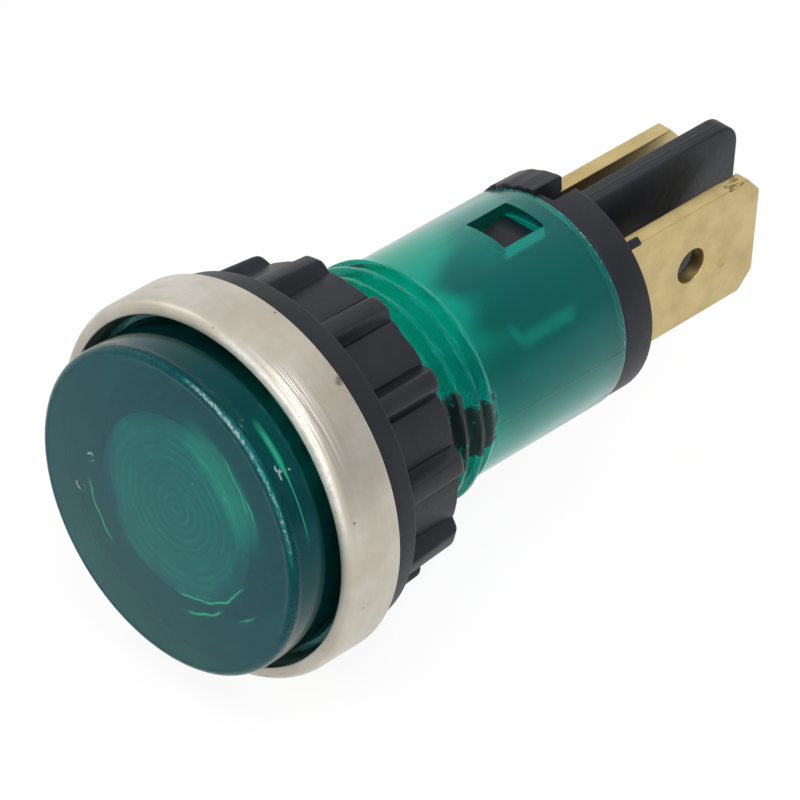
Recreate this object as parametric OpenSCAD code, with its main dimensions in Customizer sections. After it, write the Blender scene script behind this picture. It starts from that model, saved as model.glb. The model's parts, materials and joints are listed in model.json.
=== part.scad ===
// Panel pilot light: a one-piece green lens and threaded barrel, a plated bezel cup, a panel nut,
// and a rear cap that carries two quick-connect tabs, a neon lamp and its series resistor.
// The lamp's axis is Y. The lens looks towards -Y, the tabs point towards +Y and +Z is up.
// The origin is on the axis, on the bezel's rear face, which is the face that meets the panel.

/* [Lens head] */
// Gap between the side of the lens and the bezel's rim
lens_gap = 0.52; // [0.3:0.02:0.9]
// How far the lens stands in front of the bezel
lens_proud = 2.25; // [1.5:0.05:3.5]
// Thickness of the clear plate at the front of the lens
lens_plate = 1.5; // [1.2:0.1:2.2]
// Radius of the lens's front edge
lens_edge_r = 0.4; // [0.2:0.05:0.8]
// Height of the foot that rests on the bezel's floor
foot_h = 1.1; // [0.8:0.1:1.5]

/* [Barrel] */
// Major diameter of the thread, for a 12 mm panel hole
thread_d = 11.8; // [11.6:0.1:12.0]
// Length of the thread behind the panel face
thread_l = 9.4; // [8.5:0.1:10.5]
// Distance between two crests of the thread
thread_pitch = 1.0; // [0.75:0.05:1.25]
// Radial depth of the thread
thread_depth = 0.55; // [0.3:0.05:0.65]
// Radial step from the thread's crest down to the plain barrel
barrel_relief = 0.4; // [0.3:0.05:0.5]
// Length of the barrel behind the panel face
barrel_l = 18.35; // [17.9:0.05:20]
// Wall of the plain barrel
barrel_wall = 1.0; // [0.9:0.05:1.1]
// Width of a snap window, across the barrel
window_w = 2.4; // [2.0:0.1:2.8]
// Length of a snap window, along the barrel
window_l = 2.6; // [2.4:0.1:3.2]
// Barrel left behind a snap window
window_back = 1.35; // [1.0:0.05:1.8]

/* [Bezel] */
// Outer diameter of the bezel
bezel_d = 18.2; // [17.8:0.1:20]
// Height of the bezel
bezel_h = 3.0; // [2.6:0.1:4]
// Wall of the bezel's rim
bezel_wall = 0.73; // [0.5:0.01:1.0]
// Thickness of the bezel's floor
bezel_floor = 0.8; // [0.6:0.1:1.0]
// Radius of the bezel's edges
bezel_edge_r = 0.15; // [0.05:0.05:0.25]

/* [Panel nut] */
// Diameter of the nut's flange
flange_d = 17.2; // [16.8:0.1:17.8]
// Thickness of the nut's flange
flange_t = 1.45; // [1.0:0.05:2.0]
// Diameter of the nut's body between its ribs
nut_d = 14.8; // [14.4:0.1:15.2]
// Height of the whole nut
nut_h = 5.35; // [4.5:0.05:6.0]
// Number of grip ribs
rib_count = 12; // [8:1:16]
// Width of a rib at its foot
rib_foot_w = 1.35; // [1.0:0.05:1.8]
// Width of a rib at its crest
rib_crest_w = 0.85; // [0.6:0.05:1.2]
// Rise of a rib at its flange end
rib_rise = 0.85; // [0.5:0.05:0.9]
// How much lower the rib is at its far end
rib_drop = 0.3; // [0:0.05:0.4]
// Turn of the first rib about the axis
rib_turn = 12.5; // [0:0.5:30]

/* [Rear cap] */
// How far the cap's flange lies inside the barrel's outline
cap_inset = 0.075; // [0.025:0.025:0.2]
// Thickness of the cap's flange
cap_t = 1.85; // [1.6:0.05:2.4]
// Length of the sleeve inside the barrel
sleeve_l = 5.95; // [5.0:0.05:6.5]
// Wall of that sleeve
sleeve_wall = 0.85; // [0.7:0.05:1.0]
// Width of the slits that free the snap tongues
slit_w = 0.4; // [0.25:0.05:0.5]
// Angle from the side of the sleeve to each slit
slit_angle = 29; // [24:1:34]
// Length of the straight part of each slit
slit_l = 2.95; // [2.4:0.05:3.4]
// Slant of the slit's front part, which narrows the tongue's tip
slit_slant = 47; // [35:1:60]
// Solid sleeve left between a slit and the cap
slit_back = 1.35; // [1.0:0.05:1.8]
// How far a snap hook stands out of the sleeve
hook_rise = 0.35; // [0.25:0.05:0.8]
// Thickness of the barrier between the tabs
barrier_t = 1.1; // [0.7:0.1:1.4]
// Width of the barrier
barrier_w = 8.7; // [7.0:0.1:9.0]
// Length of the barrier behind the cap
barrier_l = 10.9; // [8:0.1:13]
// Radius of the barrier's two free corners
barrier_corner_r = 1.2; // [0.5:0.1:2.0]
// How far the lug stands out of the cap's rim
lug_rise = 0.25; // [0.15:0.05:0.35]
// Turn of the lug's steep end about the axis
lug_turn = 97.5; // [95:0.5:105]
// Angle that the lug covers at its full height
lug_span = 27; // [15:1:40]
// Angle over which the lug runs out into the rim
lug_fade = 13; // [5:1:20]
// Depth of the mould relief behind each snap hook
notch_depth = 1.3; // [0.8:0.1:1.5]
// Angle around the axis that the relief covers
notch_span = 9; // [6:1:14]
// Turn of the first relief about the axis
notch_turn = 93; // [88:1:93]
// Turn of the first small stub about the axis
stub_turn = 48; // [40:1:56]
// Height of the small stub on the cap's rim
stub_h = 0.8; // [0.5:0.05:1.2]

/* [Tabs] */
// Width of a quick-connect tab
tab_w = 6.3; // [4.8:0.1:6.4]
// Thickness of the tab's strip
tab_t = 0.8; // [0.5:0.1:0.8]
// Length of the tab behind the cap
tab_l = 9.8; // [7.5:0.1:11]
// Length of the chamfer on the tab's corners
tab_chamfer_l = 0.85; // [0.5:0.05:1.5]
// Width of the chamfer on the tab's corners
tab_chamfer_w = 0.9; // [0.5:0.05:1.2]
// Diameter of the latch hole
tab_hole_d = 1.8; // [1.4:0.1:2.2]
// Distance from the cap to the latch hole
tab_hole_l = 5.3; // [4.0:0.1:6.0]
// Distance from the axis to a tab's inner face
tab_reach = 2.2; // [2.0:0.05:2.4]
// How deep the tab's shoulders sit in the cap
tab_seat = 1.3; // [0.9:0.05:1.5]
// How much further the left tab stands out than the right one
tab_uneven = 0.4; // [0:0.05:0.5]
// Width of the tail inside the cap
tail_w = 2.4; // [1.6:0.1:3.0]
// Length of the tail in front of the shoulders
tail_l = 4.0; // [3.0:0.1:4.5]

/* [Neon lamp] */
// Diameter of the glass
glass_d = 5.9; // [5.0:0.1:6.2]
// Wall of the glass
glass_wall = 0.5; // [0.4:0.05:0.8]
// Room between the lens plate and the glass
glass_gap = 1.4; // [0.8:0.1:2.0]
// Length of the flat pinch that seals the leads in
pinch_l = 2.6; // [2.0:0.1:3.2]
// Thickness of that pinch
pinch_t = 1.8; // [1.4:0.1:2.4]
// Diameter of an electrode
electrode_d = 0.9; // [0.6:0.05:1.1]
// Length of an electrode
electrode_l = 5.6; // [4.0:0.1:6.0]
// Distance of each electrode from the axis
electrode_x = 0.9; // [0.8:0.05:1.1]

/* [Resistor and leads] */
// Diameter of the wire leads
lead_d = 0.5; // [0.4:0.05:0.6]
// Diameter of the resistor's ends
resistor_d = 1.8; // [1.5:0.05:1.8]
// Length of the resistor's body
resistor_l = 3.5; // [3.0:0.1:3.7]
// Room for the splice between the lamp and the resistor
splice_room = 1.97; // [1.2:0.05:3.0]
// Straight lead between the resistor and its bend
resistor_gap = 0.1; // [0.05:0.05:0.5]
// Angle of the bends that take the leads out to the tails
bend_angle = 75; // [60:1:85]
// Outer diameter of the insulating tube on the plain lead
tube_d = 1.1; // [0.9:0.05:1.2]
// Diameter of a solder joint
solder_d = 1.1; // [0.9:0.05:1.2]

/* [Fits] */
// Radial running clearance of the nut on the thread
thread_fit = 0.05; // [0.02:0.01:0.1]
// Clearance between pieces that seat in one another
seat_fit = 0.02; // [0.01:0.01:0.05]
// Radial clearance of the cap's sleeve in the barrel
sleeve_fit = 0.05; // [0.02:0.01:0.1]
// Radial clearance of the bezel's bore around the thread
bezel_fit = 0.06; // [0.03:0.01:0.1]
// Radial clearance of the lens's foot in the bezel
foot_fit = 0.12; // [0.05:0.01:0.2]

/* [Hidden] */
$fn = 96;
eps = 0.01;
// Chamfer on the small edges of the mouldings
small_edge = 0.15;

// Stations along the axis
lens_front = -(bezel_h + lens_proud);
plate_back = lens_front + lens_plate;
foot_back = -bezel_floor - seat_fit;
cap_front = barrel_l + seat_fit;
cap_back = cap_front + cap_t;
sleeve_front = cap_front - sleeve_l;
tab_shoulder = cap_back - tab_seat;
tab_end = cap_back + tab_l;
barrier_end = cap_back + barrier_l;
window_end = barrel_l - window_back;
window_start = window_end - window_l;
tail_end = tab_shoulder - tail_l;

// Radii
thread_r = thread_d / 2;
barrel_r = thread_r - barrel_relief;
bore_r = barrel_r - barrel_wall;
bezel_in_r = bezel_d / 2 - bezel_wall;
foot_r = bezel_in_r - foot_fit;
lens_r = bezel_in_r - lens_gap;
sleeve_r = bore_r - sleeve_fit;
sleeve_in_r = sleeve_r - sleeve_wall;
cap_r = barrel_r - cap_inset;
nut_bore_r = thread_r + thread_fit;
lead_r = lead_d / 2;

// The leads, from the cap forwards to the lamp
tail_x = tab_reach - lead_r - seat_fit;
lead_end_gap = 0.3;
lead_stop = cap_front - lead_end_gap;
solder_y = lead_stop - solder_d / 2;
bend_r = (tail_x - electrode_x) / (2 * (1 - cos(bend_angle)));
bend_end = lead_stop - solder_d;
bend_start = bend_end - 2 * bend_r * sin(bend_angle);
resistor_back = bend_start - resistor_gap;
resistor_front = resistor_back - resistor_l;

// The lamp, which fills the room between the lens plate and the splice
glass_front = plate_back + glass_gap;
glass_end = resistor_front - splice_room;
cavity_end = glass_end - pinch_l;
splice_y = (glass_end + resistor_front) / 2;
electrode_gap = 0.15;
electrode_end = cavity_end - glass_wall - electrode_gap;

// Points along an arc, from angle a to angle b
function arc(x, y, r, a, b, steps = 6) =
    [for (i = [0 : steps]) let (t = a + (b - a) * i / steps) [x + r * cos(t), y + r * sin(t)]];

// Turns a profile of [radius, distance along the axis] points about the Y axis
module turned(points) {
    rotate([-90, 0, 0])
        rotate_extrude()
            polygon(points);
}

// A plain round bar along the Y axis, from y0 to y1
module bar(r, y0, y1, x = 0, z = 0) {
    translate([x, y0, z])
        rotate([-90, 0, 0])
            cylinder(r = r, h = y1 - y0);
}

// Raises a flat shape drawn in X and Z into a solid from y0 to y1
module along_y(y0, y1) {
    translate([0, y1, 0])
        rotate([90, 0, 0])
            linear_extrude(y1 - y0)
                children();
}

// Raises a flat shape drawn in Y and Z into a solid from x0 to x1
module along_x(x0, x1) {
    translate([x0, 0, 0])
        rotate([90, 0, 90])
            linear_extrude(x1 - x0)
                children();
}

// Turns its children about the axis, from +X towards +Z
module at_angle(a) {
    rotate([0, -a, 0])
        children();
}

// A wedge of the ring between two radii, centred on angle 0 and covering a span
module ring_piece(r0, r1, span, y0, y1) {
    far = 2 * r1;
    intersection() {
        difference() {
            bar(r1, y0, y1);
            bar(r0, y0 - eps, y1 + eps);
        }
        along_y(y0 - eps, y1 + eps)
            polygon([[0, 0], [far * cos(span / 2), -far * sin(span / 2)],
                [far, 0], [far * cos(span / 2), far * sin(span / 2)]]);
    }
}

// Repeats its children on the +X side, or mirrors them to the -X side
module on_side(side) {
    mirror([side > 0 ? 0 : 1, 0, 0])
        children();
}

// Points of a lead that runs from y0 to y1 and bends from the lead line out to the tail line
function bent_route(y0, y1) = concat(
    [[electrode_x, y0]],
    arc(electrode_x + bend_r, bend_start, bend_r, 180, 180 - bend_angle, 5),
    arc(tail_x - bend_r, bend_end, bend_r, -bend_angle, 0, 5),
    [[tail_x, y1]]);

// Unit direction of a route at one of its points
function route_way(route, i) =
    let (d = route[min(i + 1, len(route) - 1)] - route[max(i - 1, 0)]) d / norm(d);

// A round wire swept along a route of [x, y] points in the plane Z = 0
module wire(route, r) {
    sides = 12;
    last = len(route) - 1;
    points = [for (i = [0 : last]) let (w = route_way(route, i))
        for (k = [0 : sides - 1]) let (a = k * 360 / sides)
            [route[i][0] + r * cos(a) * w[1], route[i][1] - r * cos(a) * w[0], r * sin(a)]];
    skin = [for (i = [0 : last - 1]) for (k = [0 : sides - 1]) let (n = (k + 1) % sides)
        [i * sides + k, (i + 1) * sides + k, (i + 1) * sides + n, i * sides + n]];
    ends = [[for (k = [0 : sides - 1]) k], [for (k = [sides - 1 : -1 : 0]) last * sides + k]];
    polyhedron(points, concat(skin, ends));
}

// Lens, foot, threaded barrel and snap windows, moulded in one
module lens_body() {
    color([0.0, 0.42, 0.34, 0.8])
        difference() {
            turned(concat(
                [[0, lens_front]],
                arc(lens_r - lens_edge_r, lens_front + lens_edge_r, lens_edge_r, -90, 0),
                [[lens_r, foot_back - foot_h],
                 [foot_r, foot_back - foot_h],
                 [foot_r, foot_back],
                 [thread_r, foot_back]],
                thread_rings(),
                [[barrel_r, barrel_l - small_edge],
                 [barrel_r - small_edge, barrel_l],
                 [bore_r, barrel_l],
                 [bore_r, plate_back],
                 [0, plate_back]]));
            for (a = [90, 270])
                at_angle(a)
                    snap_window();
        }
}

// Profile of the thread, drawn as rings of its pitch and depth
function thread_rings() =
    let (count = floor((thread_l - thread_pitch / 2) / thread_pitch),
        root_r = thread_r - thread_depth,
        flat = thread_pitch / 8,
        flank = thread_pitch / 2 - flat)
    [for (i = [count - 1 : -1 : 0])
        let (y = thread_l - thread_pitch / 2 - i * thread_pitch)
        each [[thread_r, y - flank - flat / 2], [root_r, y - flat / 2],
            [i > 0 ? root_r : barrel_r, y + flat / 2],
            [i > 0 ? thread_r : barrel_r, y + flank + flat / 2]]];

// The through-cut of one snap window, on the +X side
module snap_window() {
    translate([0, window_start, -window_w / 2])
        cube([2 * barrel_r, window_l, window_w]);
}

// Plated cup that the lens head sits in
module bezel_ring() {
    r = bezel_d / 2;
    e = bezel_edge_r;
    color([0.75, 0.72, 0.66])
        turned(concat(
            [[thread_r + bezel_fit, -bezel_floor],
             [bezel_in_r, -bezel_floor]],
            arc(bezel_in_r + e, -bezel_h + e, e, 180, 270, 4),
            arc(r - e, -bezel_h + e, e, 270, 360, 4),
            arc(r - e, -e, e, 0, 90, 4),
            [[thread_r + bezel_fit, 0]]));
}

// Flanged nut with rounded grip ribs
module panel_nut() {
    y0 = seat_fit;
    y1 = y0 + nut_h;
    color([0.13, 0.13, 0.14])
        difference() {
            union() {
                turned([
                    [nut_bore_r, y0], [flange_d / 2 - small_edge, y0],
                    [flange_d / 2, y0 + small_edge],
                    [flange_d / 2, y0 + flange_t - small_edge],
                    [flange_d / 2 - small_edge, y0 + flange_t],
                    [nut_d / 2, y0 + flange_t],
                    [nut_d / 2, y1 - small_edge],
                    [nut_d / 2 - small_edge, y1], [nut_bore_r, y1]]);
                grip_ribs(y0 + flange_t - small_edge, y1);
            }
            nut_mouth(y0, -1);
            nut_mouth(y1, 1);
        }
}

// Countersink of the nut's bore, opening towards +Y or -Y
module nut_mouth(y, side) {
    mouth = 0.35;
    turned([[0, y - side * mouth], [nut_bore_r, y - side * mouth],
        [nut_bore_r + mouth + eps, y + side * eps], [0, y + side * eps]]);
}

// The ring of ribs, cut to one tapering outline with a rounded far end
module grip_ribs(y0, y1) {
    top_r = nut_d / 2 + rib_rise;
    far_r = top_r - rib_drop;
    end_r = 0.4;
    intersection() {
        for (i = [0 : rib_count - 1])
            at_angle(rib_turn + i * 360 / rib_count)
                along_y(y0, y1)
                    rib_section(top_r);
        turned(concat(
            [[0, y0], [top_r, y0]],
            arc(far_r - end_r, y1 - end_r, end_r, 0, 90),
            [[0, y1]]));
    }
}

// Cross-section of one rib, with rounded crest edges
module rib_section(top_r) {
    foot_r = nut_d / 2 - 0.3;
    round_r = 0.2;
    round_a = 75;
    half_foot = rib_foot_w / 2;
    half_crest = rib_crest_w / 2;
    polygon(concat(
        [[foot_r, -half_foot]],
        arc(top_r - round_r, -half_crest + round_r, round_r, -round_a, 0, 4),
        arc(top_r - round_r, half_crest - round_r, round_r, 0, round_a, 4),
        [[foot_r, half_foot]]));
}

// Rear cap: flange, slit sleeve with two snap hooks, lug, stubs, and the barrier between the tabs
module rear_cap() {
    notch_floor = 0.35;
    stub_t = 0.35;
    stub_span = 5;
    color([0.11, 0.11, 0.12])
        difference() {
            union() {
                turned([[0, cap_front], [cap_r - small_edge, cap_front],
                    [cap_r, cap_front + small_edge], [cap_r, cap_back - small_edge],
                    [cap_r - small_edge, cap_back], [0, cap_back]]);
                cap_sleeve();
                cap_barrier();
                rim_lug();
                for (a = [stub_turn, stub_turn + 180])
                    at_angle(a)
                        ring_piece(cap_r - small_edge - stub_t, cap_r - small_edge, stub_span,
                            cap_back - eps, cap_back + stub_h);
            }
            for (a = [notch_turn, notch_turn + 180])
                at_angle(a)
                    ring_piece(cap_r - notch_depth, cap_r + 1, notch_span,
                        cap_front + notch_floor, cap_back + eps);
            for (side = [-1, 1])
                tab_slot(side);
        }
}

// Lug on the cap's rim, steep at one end and running out at the other
module rim_lug() {
    root = cap_r - 2 * lug_rise;
    top = cap_r + lug_rise;
    end = lug_turn + lug_span + lug_fade;
    along_y(cap_front + small_edge, cap_back - small_edge)
        polygon(concat(
            arc(0, 0, top, lug_turn, lug_turn + lug_span, 9),
            [[cap_r * cos(end), cap_r * sin(end)]],
            arc(0, 0, root, end, lug_turn, 9)));
}

// The sleeve inside the barrel, its four slits and its two snap hooks
module cap_sleeve() {
    difference() {
        turned([[sleeve_in_r, sleeve_front + small_edge],
            [sleeve_in_r + small_edge, sleeve_front], [sleeve_r - small_edge, sleeve_front],
            [sleeve_r, sleeve_front + small_edge],
            [sleeve_r, cap_front + eps], [sleeve_in_r, cap_front + eps]]);
        for (turn = [0, 180])
            for (side = [-1, 1])
                at_angle(turn + side * slit_angle)
                    tongue_slit(side);
    }
    for (a = [90, 270])
        at_angle(a)
            snap_hook();
}

// One slit, on the +X side: straight behind, then slanting towards the tongue
module tongue_slit(side) {
    slit_end = cap_front - slit_back;
    translate([0, slit_end - slit_l, 0]) {
        translate([sleeve_in_r / 2, 0, -slit_w / 2])
            cube([sleeve_r, slit_l, slit_w]);
        rotate([-side * slit_slant, 0, 0])
            translate([sleeve_in_r / 2, -sleeve_l, -slit_w / 2])
                cube([sleeve_r, sleeve_l, slit_w]);
    }
}

// One snap hook: a ramp that ends square against the window's rear edge
module snap_hook() {
    front_gap = 0.25;
    side_gap = 0.1;
    flat_l = 1;
    y0 = window_start + front_gap;
    y1 = window_end - seat_fit;
    hook_w = window_w - 2 * side_gap;
    root = sleeve_r - sleeve_wall / 2;
    translate([0, 0, -hook_w / 2])
        linear_extrude(hook_w)
            polygon([[root, y0], [sleeve_r, y0], [sleeve_r + hook_rise, y1 - flat_l],
                [sleeve_r + hook_rise, y1], [root, y1]]);
}

// Plate that stands between the two tabs
module cap_barrier() {
    r = barrier_corner_r;
    half = barrier_w / 2;
    along_x(-barrier_t / 2, barrier_t / 2)
        polygon(concat(
            [[cap_back - eps, -half]],
            arc(barrier_end - r, -half + r, r, -90, 0),
            arc(barrier_end - r, half - r, r, 0, 90),
            [[cap_back - eps, half]]));
}

// Stepped slot that takes a tab's shoulders and lets its tail through
module tab_slot(side) {
    x0 = (side > 0 ? tab_reach : -tab_reach - tab_t) - seat_fit;
    translate([x0, tab_shoulder - seat_fit, -tab_w / 2 - seat_fit])
        cube([tab_t + 2 * seat_fit, tab_seat + 1, tab_w + 2 * seat_fit]);
    translate([x0, tail_end - seat_fit, -tail_w / 2 - seat_fit])
        cube([tab_t + 2 * seat_fit, cap_back - tail_end, tail_w + 2 * seat_fit]);
}

// Quick-connect tab with its tail, on the side given by -1 or 1
module tab(side) {
    half = tab_w / 2;
    x0 = side > 0 ? tab_reach : -tab_reach - tab_t;
    dimple_d = 0.9;
    dimple_depth = 0.1;
    dimple_y = 2.2;
    dimple_z = -0.85;
    out = side < 0 ? tab_uneven : 0;
    hole_y = cap_back + tab_hole_l;
    color([0.76, 0.68, 0.46])
        translate([0, out, 0])
            difference() {
                along_x(x0, x0 + tab_t)
                    polygon([
                        [tail_end, -tail_w / 2], [tab_shoulder, -tail_w / 2], [tab_shoulder, -half],
                        [tab_end - tab_chamfer_l, -half], [tab_end, -half + tab_chamfer_w],
                        [tab_end, half - tab_chamfer_w], [tab_end - tab_chamfer_l, half],
                        [tab_shoulder, half], [tab_shoulder, tail_w / 2], [tail_end, tail_w / 2]]);
                translate([x0 - 1, hole_y, 0])
                    rotate([0, 90, 0])
                        cylinder(d = tab_hole_d, h = tab_t + 2);
                translate([side * (tab_reach + tab_t + dimple_d / 2 - dimple_depth),
                    hole_y + dimple_y, dimple_z])
                    sphere(d = dimple_d);
            }
}

module tab_left() {
    tab(-1);
}

module tab_right() {
    tab(1);
}

// Glass of the neon lamp: a tube with a domed, tipped front and a flat pinch behind
module lamp_glass() {
    r = glass_d / 2;
    tip_l = 0.9;
    tip_r = 0.55;
    pinch_inset = 0.5;
    color([0.85, 0.88, 0.88, 0.4])
        difference() {
            union() {
                glass_form(r, glass_front + tip_l, cavity_end);
                bar(tip_r, glass_front, glass_front + 2 * tip_l);
                translate([pinch_inset - r, cavity_end - glass_wall, -pinch_t / 2])
                    cube([2 * (r - pinch_inset), pinch_l + glass_wall, pinch_t]);
            }
            glass_form(r - glass_wall, glass_front + tip_l + glass_wall, cavity_end - glass_wall);
            for (side = [-1, 1])
                bar(lead_r + seat_fit, cavity_end - 2 * glass_wall, glass_end + 1, side * electrode_x);
        }
}

// A round-nosed bar from front to back, with a rounded shoulder at its rear
module glass_form(r, front, back) {
    corner = 1;
    dome_l = 2.2;
    steps = 8;
    turned(concat(
        [[0, front]],
        [for (i = [1 : steps]) let (t = i * 90 / steps) [r * sin(t), front + dome_l * (1 - cos(t))]],
        arc(r - corner, back - corner, corner, 0, 90),
        [[0, back]]));
}

module electrode(side) {
    color([0.62, 0.62, 0.6])
        bar(electrode_d / 2, electrode_end - electrode_l, electrode_end, side * electrode_x);
}

module electrode_left() {
    electrode(-1);
}

module electrode_right() {
    electrode(1);
}

// Left lead of the lamp, which runs back beside the resistor and bends out to the left tab's tail
module lamp_lead_left() {
    color([0.7, 0.7, 0.68])
        on_side(-1)
            wire(bent_route(electrode_end, lead_stop), lead_r);
}

// Right lead of the lamp, which ends at the splice with the resistor
module lamp_lead_right() {
    color([0.7, 0.7, 0.68])
        bar(lead_r, electrode_end, splice_y, electrode_x);
}

// Resistor with the raised ends of a film resistor
module resistor_body() {
    r = resistor_d / 2;
    waist = r - 0.12;
    end_l = 0.9;
    step_l = 0.2;
    e = 0.25;
    color([0.72, 0.6, 0.42])
        translate([electrode_x, 0, 0])
            turned(concat(
                [[0, resistor_front]],
                arc(r - e, resistor_front + e, e, -90, 0, 4),
                [[r, resistor_front + end_l - step_l], [waist, resistor_front + end_l],
                 [waist, resistor_back - end_l], [r, resistor_back - end_l + step_l]],
                arc(r - e, resistor_back - e, e, 0, 90, 4),
                [[0, resistor_back]]));
}

module resistor_lead_front() {
    color([0.7, 0.7, 0.68])
        bar(lead_r, splice_y, resistor_front, electrode_x);
}

// Rear lead of the resistor, which bends out to the right tab's tail
module resistor_lead_rear() {
    color([0.7, 0.7, 0.68])
        wire(bent_route(resistor_back, lead_stop), lead_r);
}

// Tube that keeps the plain lead off the resistor
module insulating_tube() {
    end_gap = 0.25;
    y0 = glass_end + end_gap;
    y1 = bend_start - end_gap;
    color([0.85, 0.84, 0.78])
        on_side(-1)
            difference() {
                bar(tube_d / 2, y0, y1, electrode_x);
                bar(lead_r + seat_fit, y0 - eps, y1 + eps, electrode_x);
            }
}

// Solder that joins a lead to the inner face of a tab's tail
module solder(side) {
    r = solder_d / 2;
    rim = lead_r + seat_fit / 2;
    rim_t = 0.1;
    color([0.66, 0.67, 0.68])
        on_side(side)
            intersection() {
                translate([tail_x, 0, 0])
                    turned([[rim, solder_y - r], [rim + rim_t, solder_y - r], [r, solder_y - r / 3],
                        [r, solder_y + r / 3], [rim + rim_t, solder_y + r], [rim, solder_y + r]]);
                translate([0, solder_y - solder_d, -solder_d])
                    cube([tab_reach, 2 * solder_d, 2 * solder_d]);
            }
}

module solder_left() {
    solder(-1);
}

module solder_right() {
    solder(1);
}

// Solder around the joint between the lamp's and the resistor's leads
module solder_splice() {
    half = 0.45;
    r = lead_r + half / 2;
    color([0.66, 0.67, 0.68])
        translate([electrode_x, splice_y, 0])
            turned([[lead_r + seat_fit / 2, -half], [r, -half / 2], [r, half / 2],
                [lead_r + seat_fit / 2, half]]);
}

lens_body();
bezel_ring();
panel_nut();
rear_cap();
tab_left();
tab_right();
lamp_glass();
electrode_left();
electrode_right();
lamp_lead_left();
lamp_lead_right();
resistor_body();
resistor_lead_front();
resistor_lead_rear();
insulating_tube();
solder_left();
solder_right();
solder_splice();
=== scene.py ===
"""Panel pilot light: visible pieces, finishes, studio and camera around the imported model.

All sizes are in millimetres in the part's own frame: the lamp's axis is Y, the lens looks
towards -Y, the tabs point towards +Y and +Z is up. Angles about the axis run from +X to +Z.
"""

import functools
import json
import logging
import math
from contextlib import contextmanager
from dataclasses import dataclass, field
from enum import Enum
from typing import Any, Callable, Iterator, Sequence

import bmesh
import bpy
from mathutils import Matrix, Vector, noise

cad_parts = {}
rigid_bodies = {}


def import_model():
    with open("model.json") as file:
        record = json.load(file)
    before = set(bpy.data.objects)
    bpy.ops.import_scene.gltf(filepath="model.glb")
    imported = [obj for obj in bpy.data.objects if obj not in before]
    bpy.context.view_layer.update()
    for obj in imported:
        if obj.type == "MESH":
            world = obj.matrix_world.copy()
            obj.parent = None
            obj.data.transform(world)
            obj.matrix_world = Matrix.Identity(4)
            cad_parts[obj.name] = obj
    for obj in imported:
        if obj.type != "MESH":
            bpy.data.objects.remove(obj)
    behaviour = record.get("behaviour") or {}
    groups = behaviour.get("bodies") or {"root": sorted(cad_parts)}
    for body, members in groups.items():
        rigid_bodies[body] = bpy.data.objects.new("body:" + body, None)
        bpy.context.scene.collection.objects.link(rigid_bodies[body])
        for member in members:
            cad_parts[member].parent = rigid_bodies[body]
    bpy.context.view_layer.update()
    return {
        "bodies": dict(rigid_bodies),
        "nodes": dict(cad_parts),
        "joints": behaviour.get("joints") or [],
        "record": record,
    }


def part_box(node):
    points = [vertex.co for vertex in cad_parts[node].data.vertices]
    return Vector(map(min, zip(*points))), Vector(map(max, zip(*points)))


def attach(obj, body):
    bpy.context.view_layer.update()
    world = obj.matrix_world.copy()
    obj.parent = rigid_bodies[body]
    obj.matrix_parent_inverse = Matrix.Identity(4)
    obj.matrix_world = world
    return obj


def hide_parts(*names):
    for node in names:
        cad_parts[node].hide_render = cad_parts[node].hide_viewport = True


Point2 = tuple[float, float]
Point3 = tuple[float, float, float]
Colour = tuple[float, float, float]
Point4 = tuple[float, float, float, float]
LOG = logging.getLogger("pilot_light")
MM = 0.001
WELD = 1e-7
CREASE = 32.0
FLAT_CREASE = 40.0


class Body(Enum):
    """Moving bodies of the part."""

    LAMP = "lamp"
    NUT = "nut"


class Maths(Enum):
    """Names of the scalar operations that the shader expressions use."""

    ADD = "ADD"
    SUBTRACT = "SUBTRACT"
    MULTIPLY = "MULTIPLY"
    DIVIDE = "DIVIDE"
    MINIMUM = "MINIMUM"
    MAXIMUM = "MAXIMUM"
    ABSOLUTE = "ABSOLUTE"
    SQRT = "SQRT"
    SINE = "SINE"
    ARCTAN2 = "ARCTAN2"
    FRACT = "FRACT"


# ---------------------------------------------------------------- shader expressions


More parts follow.
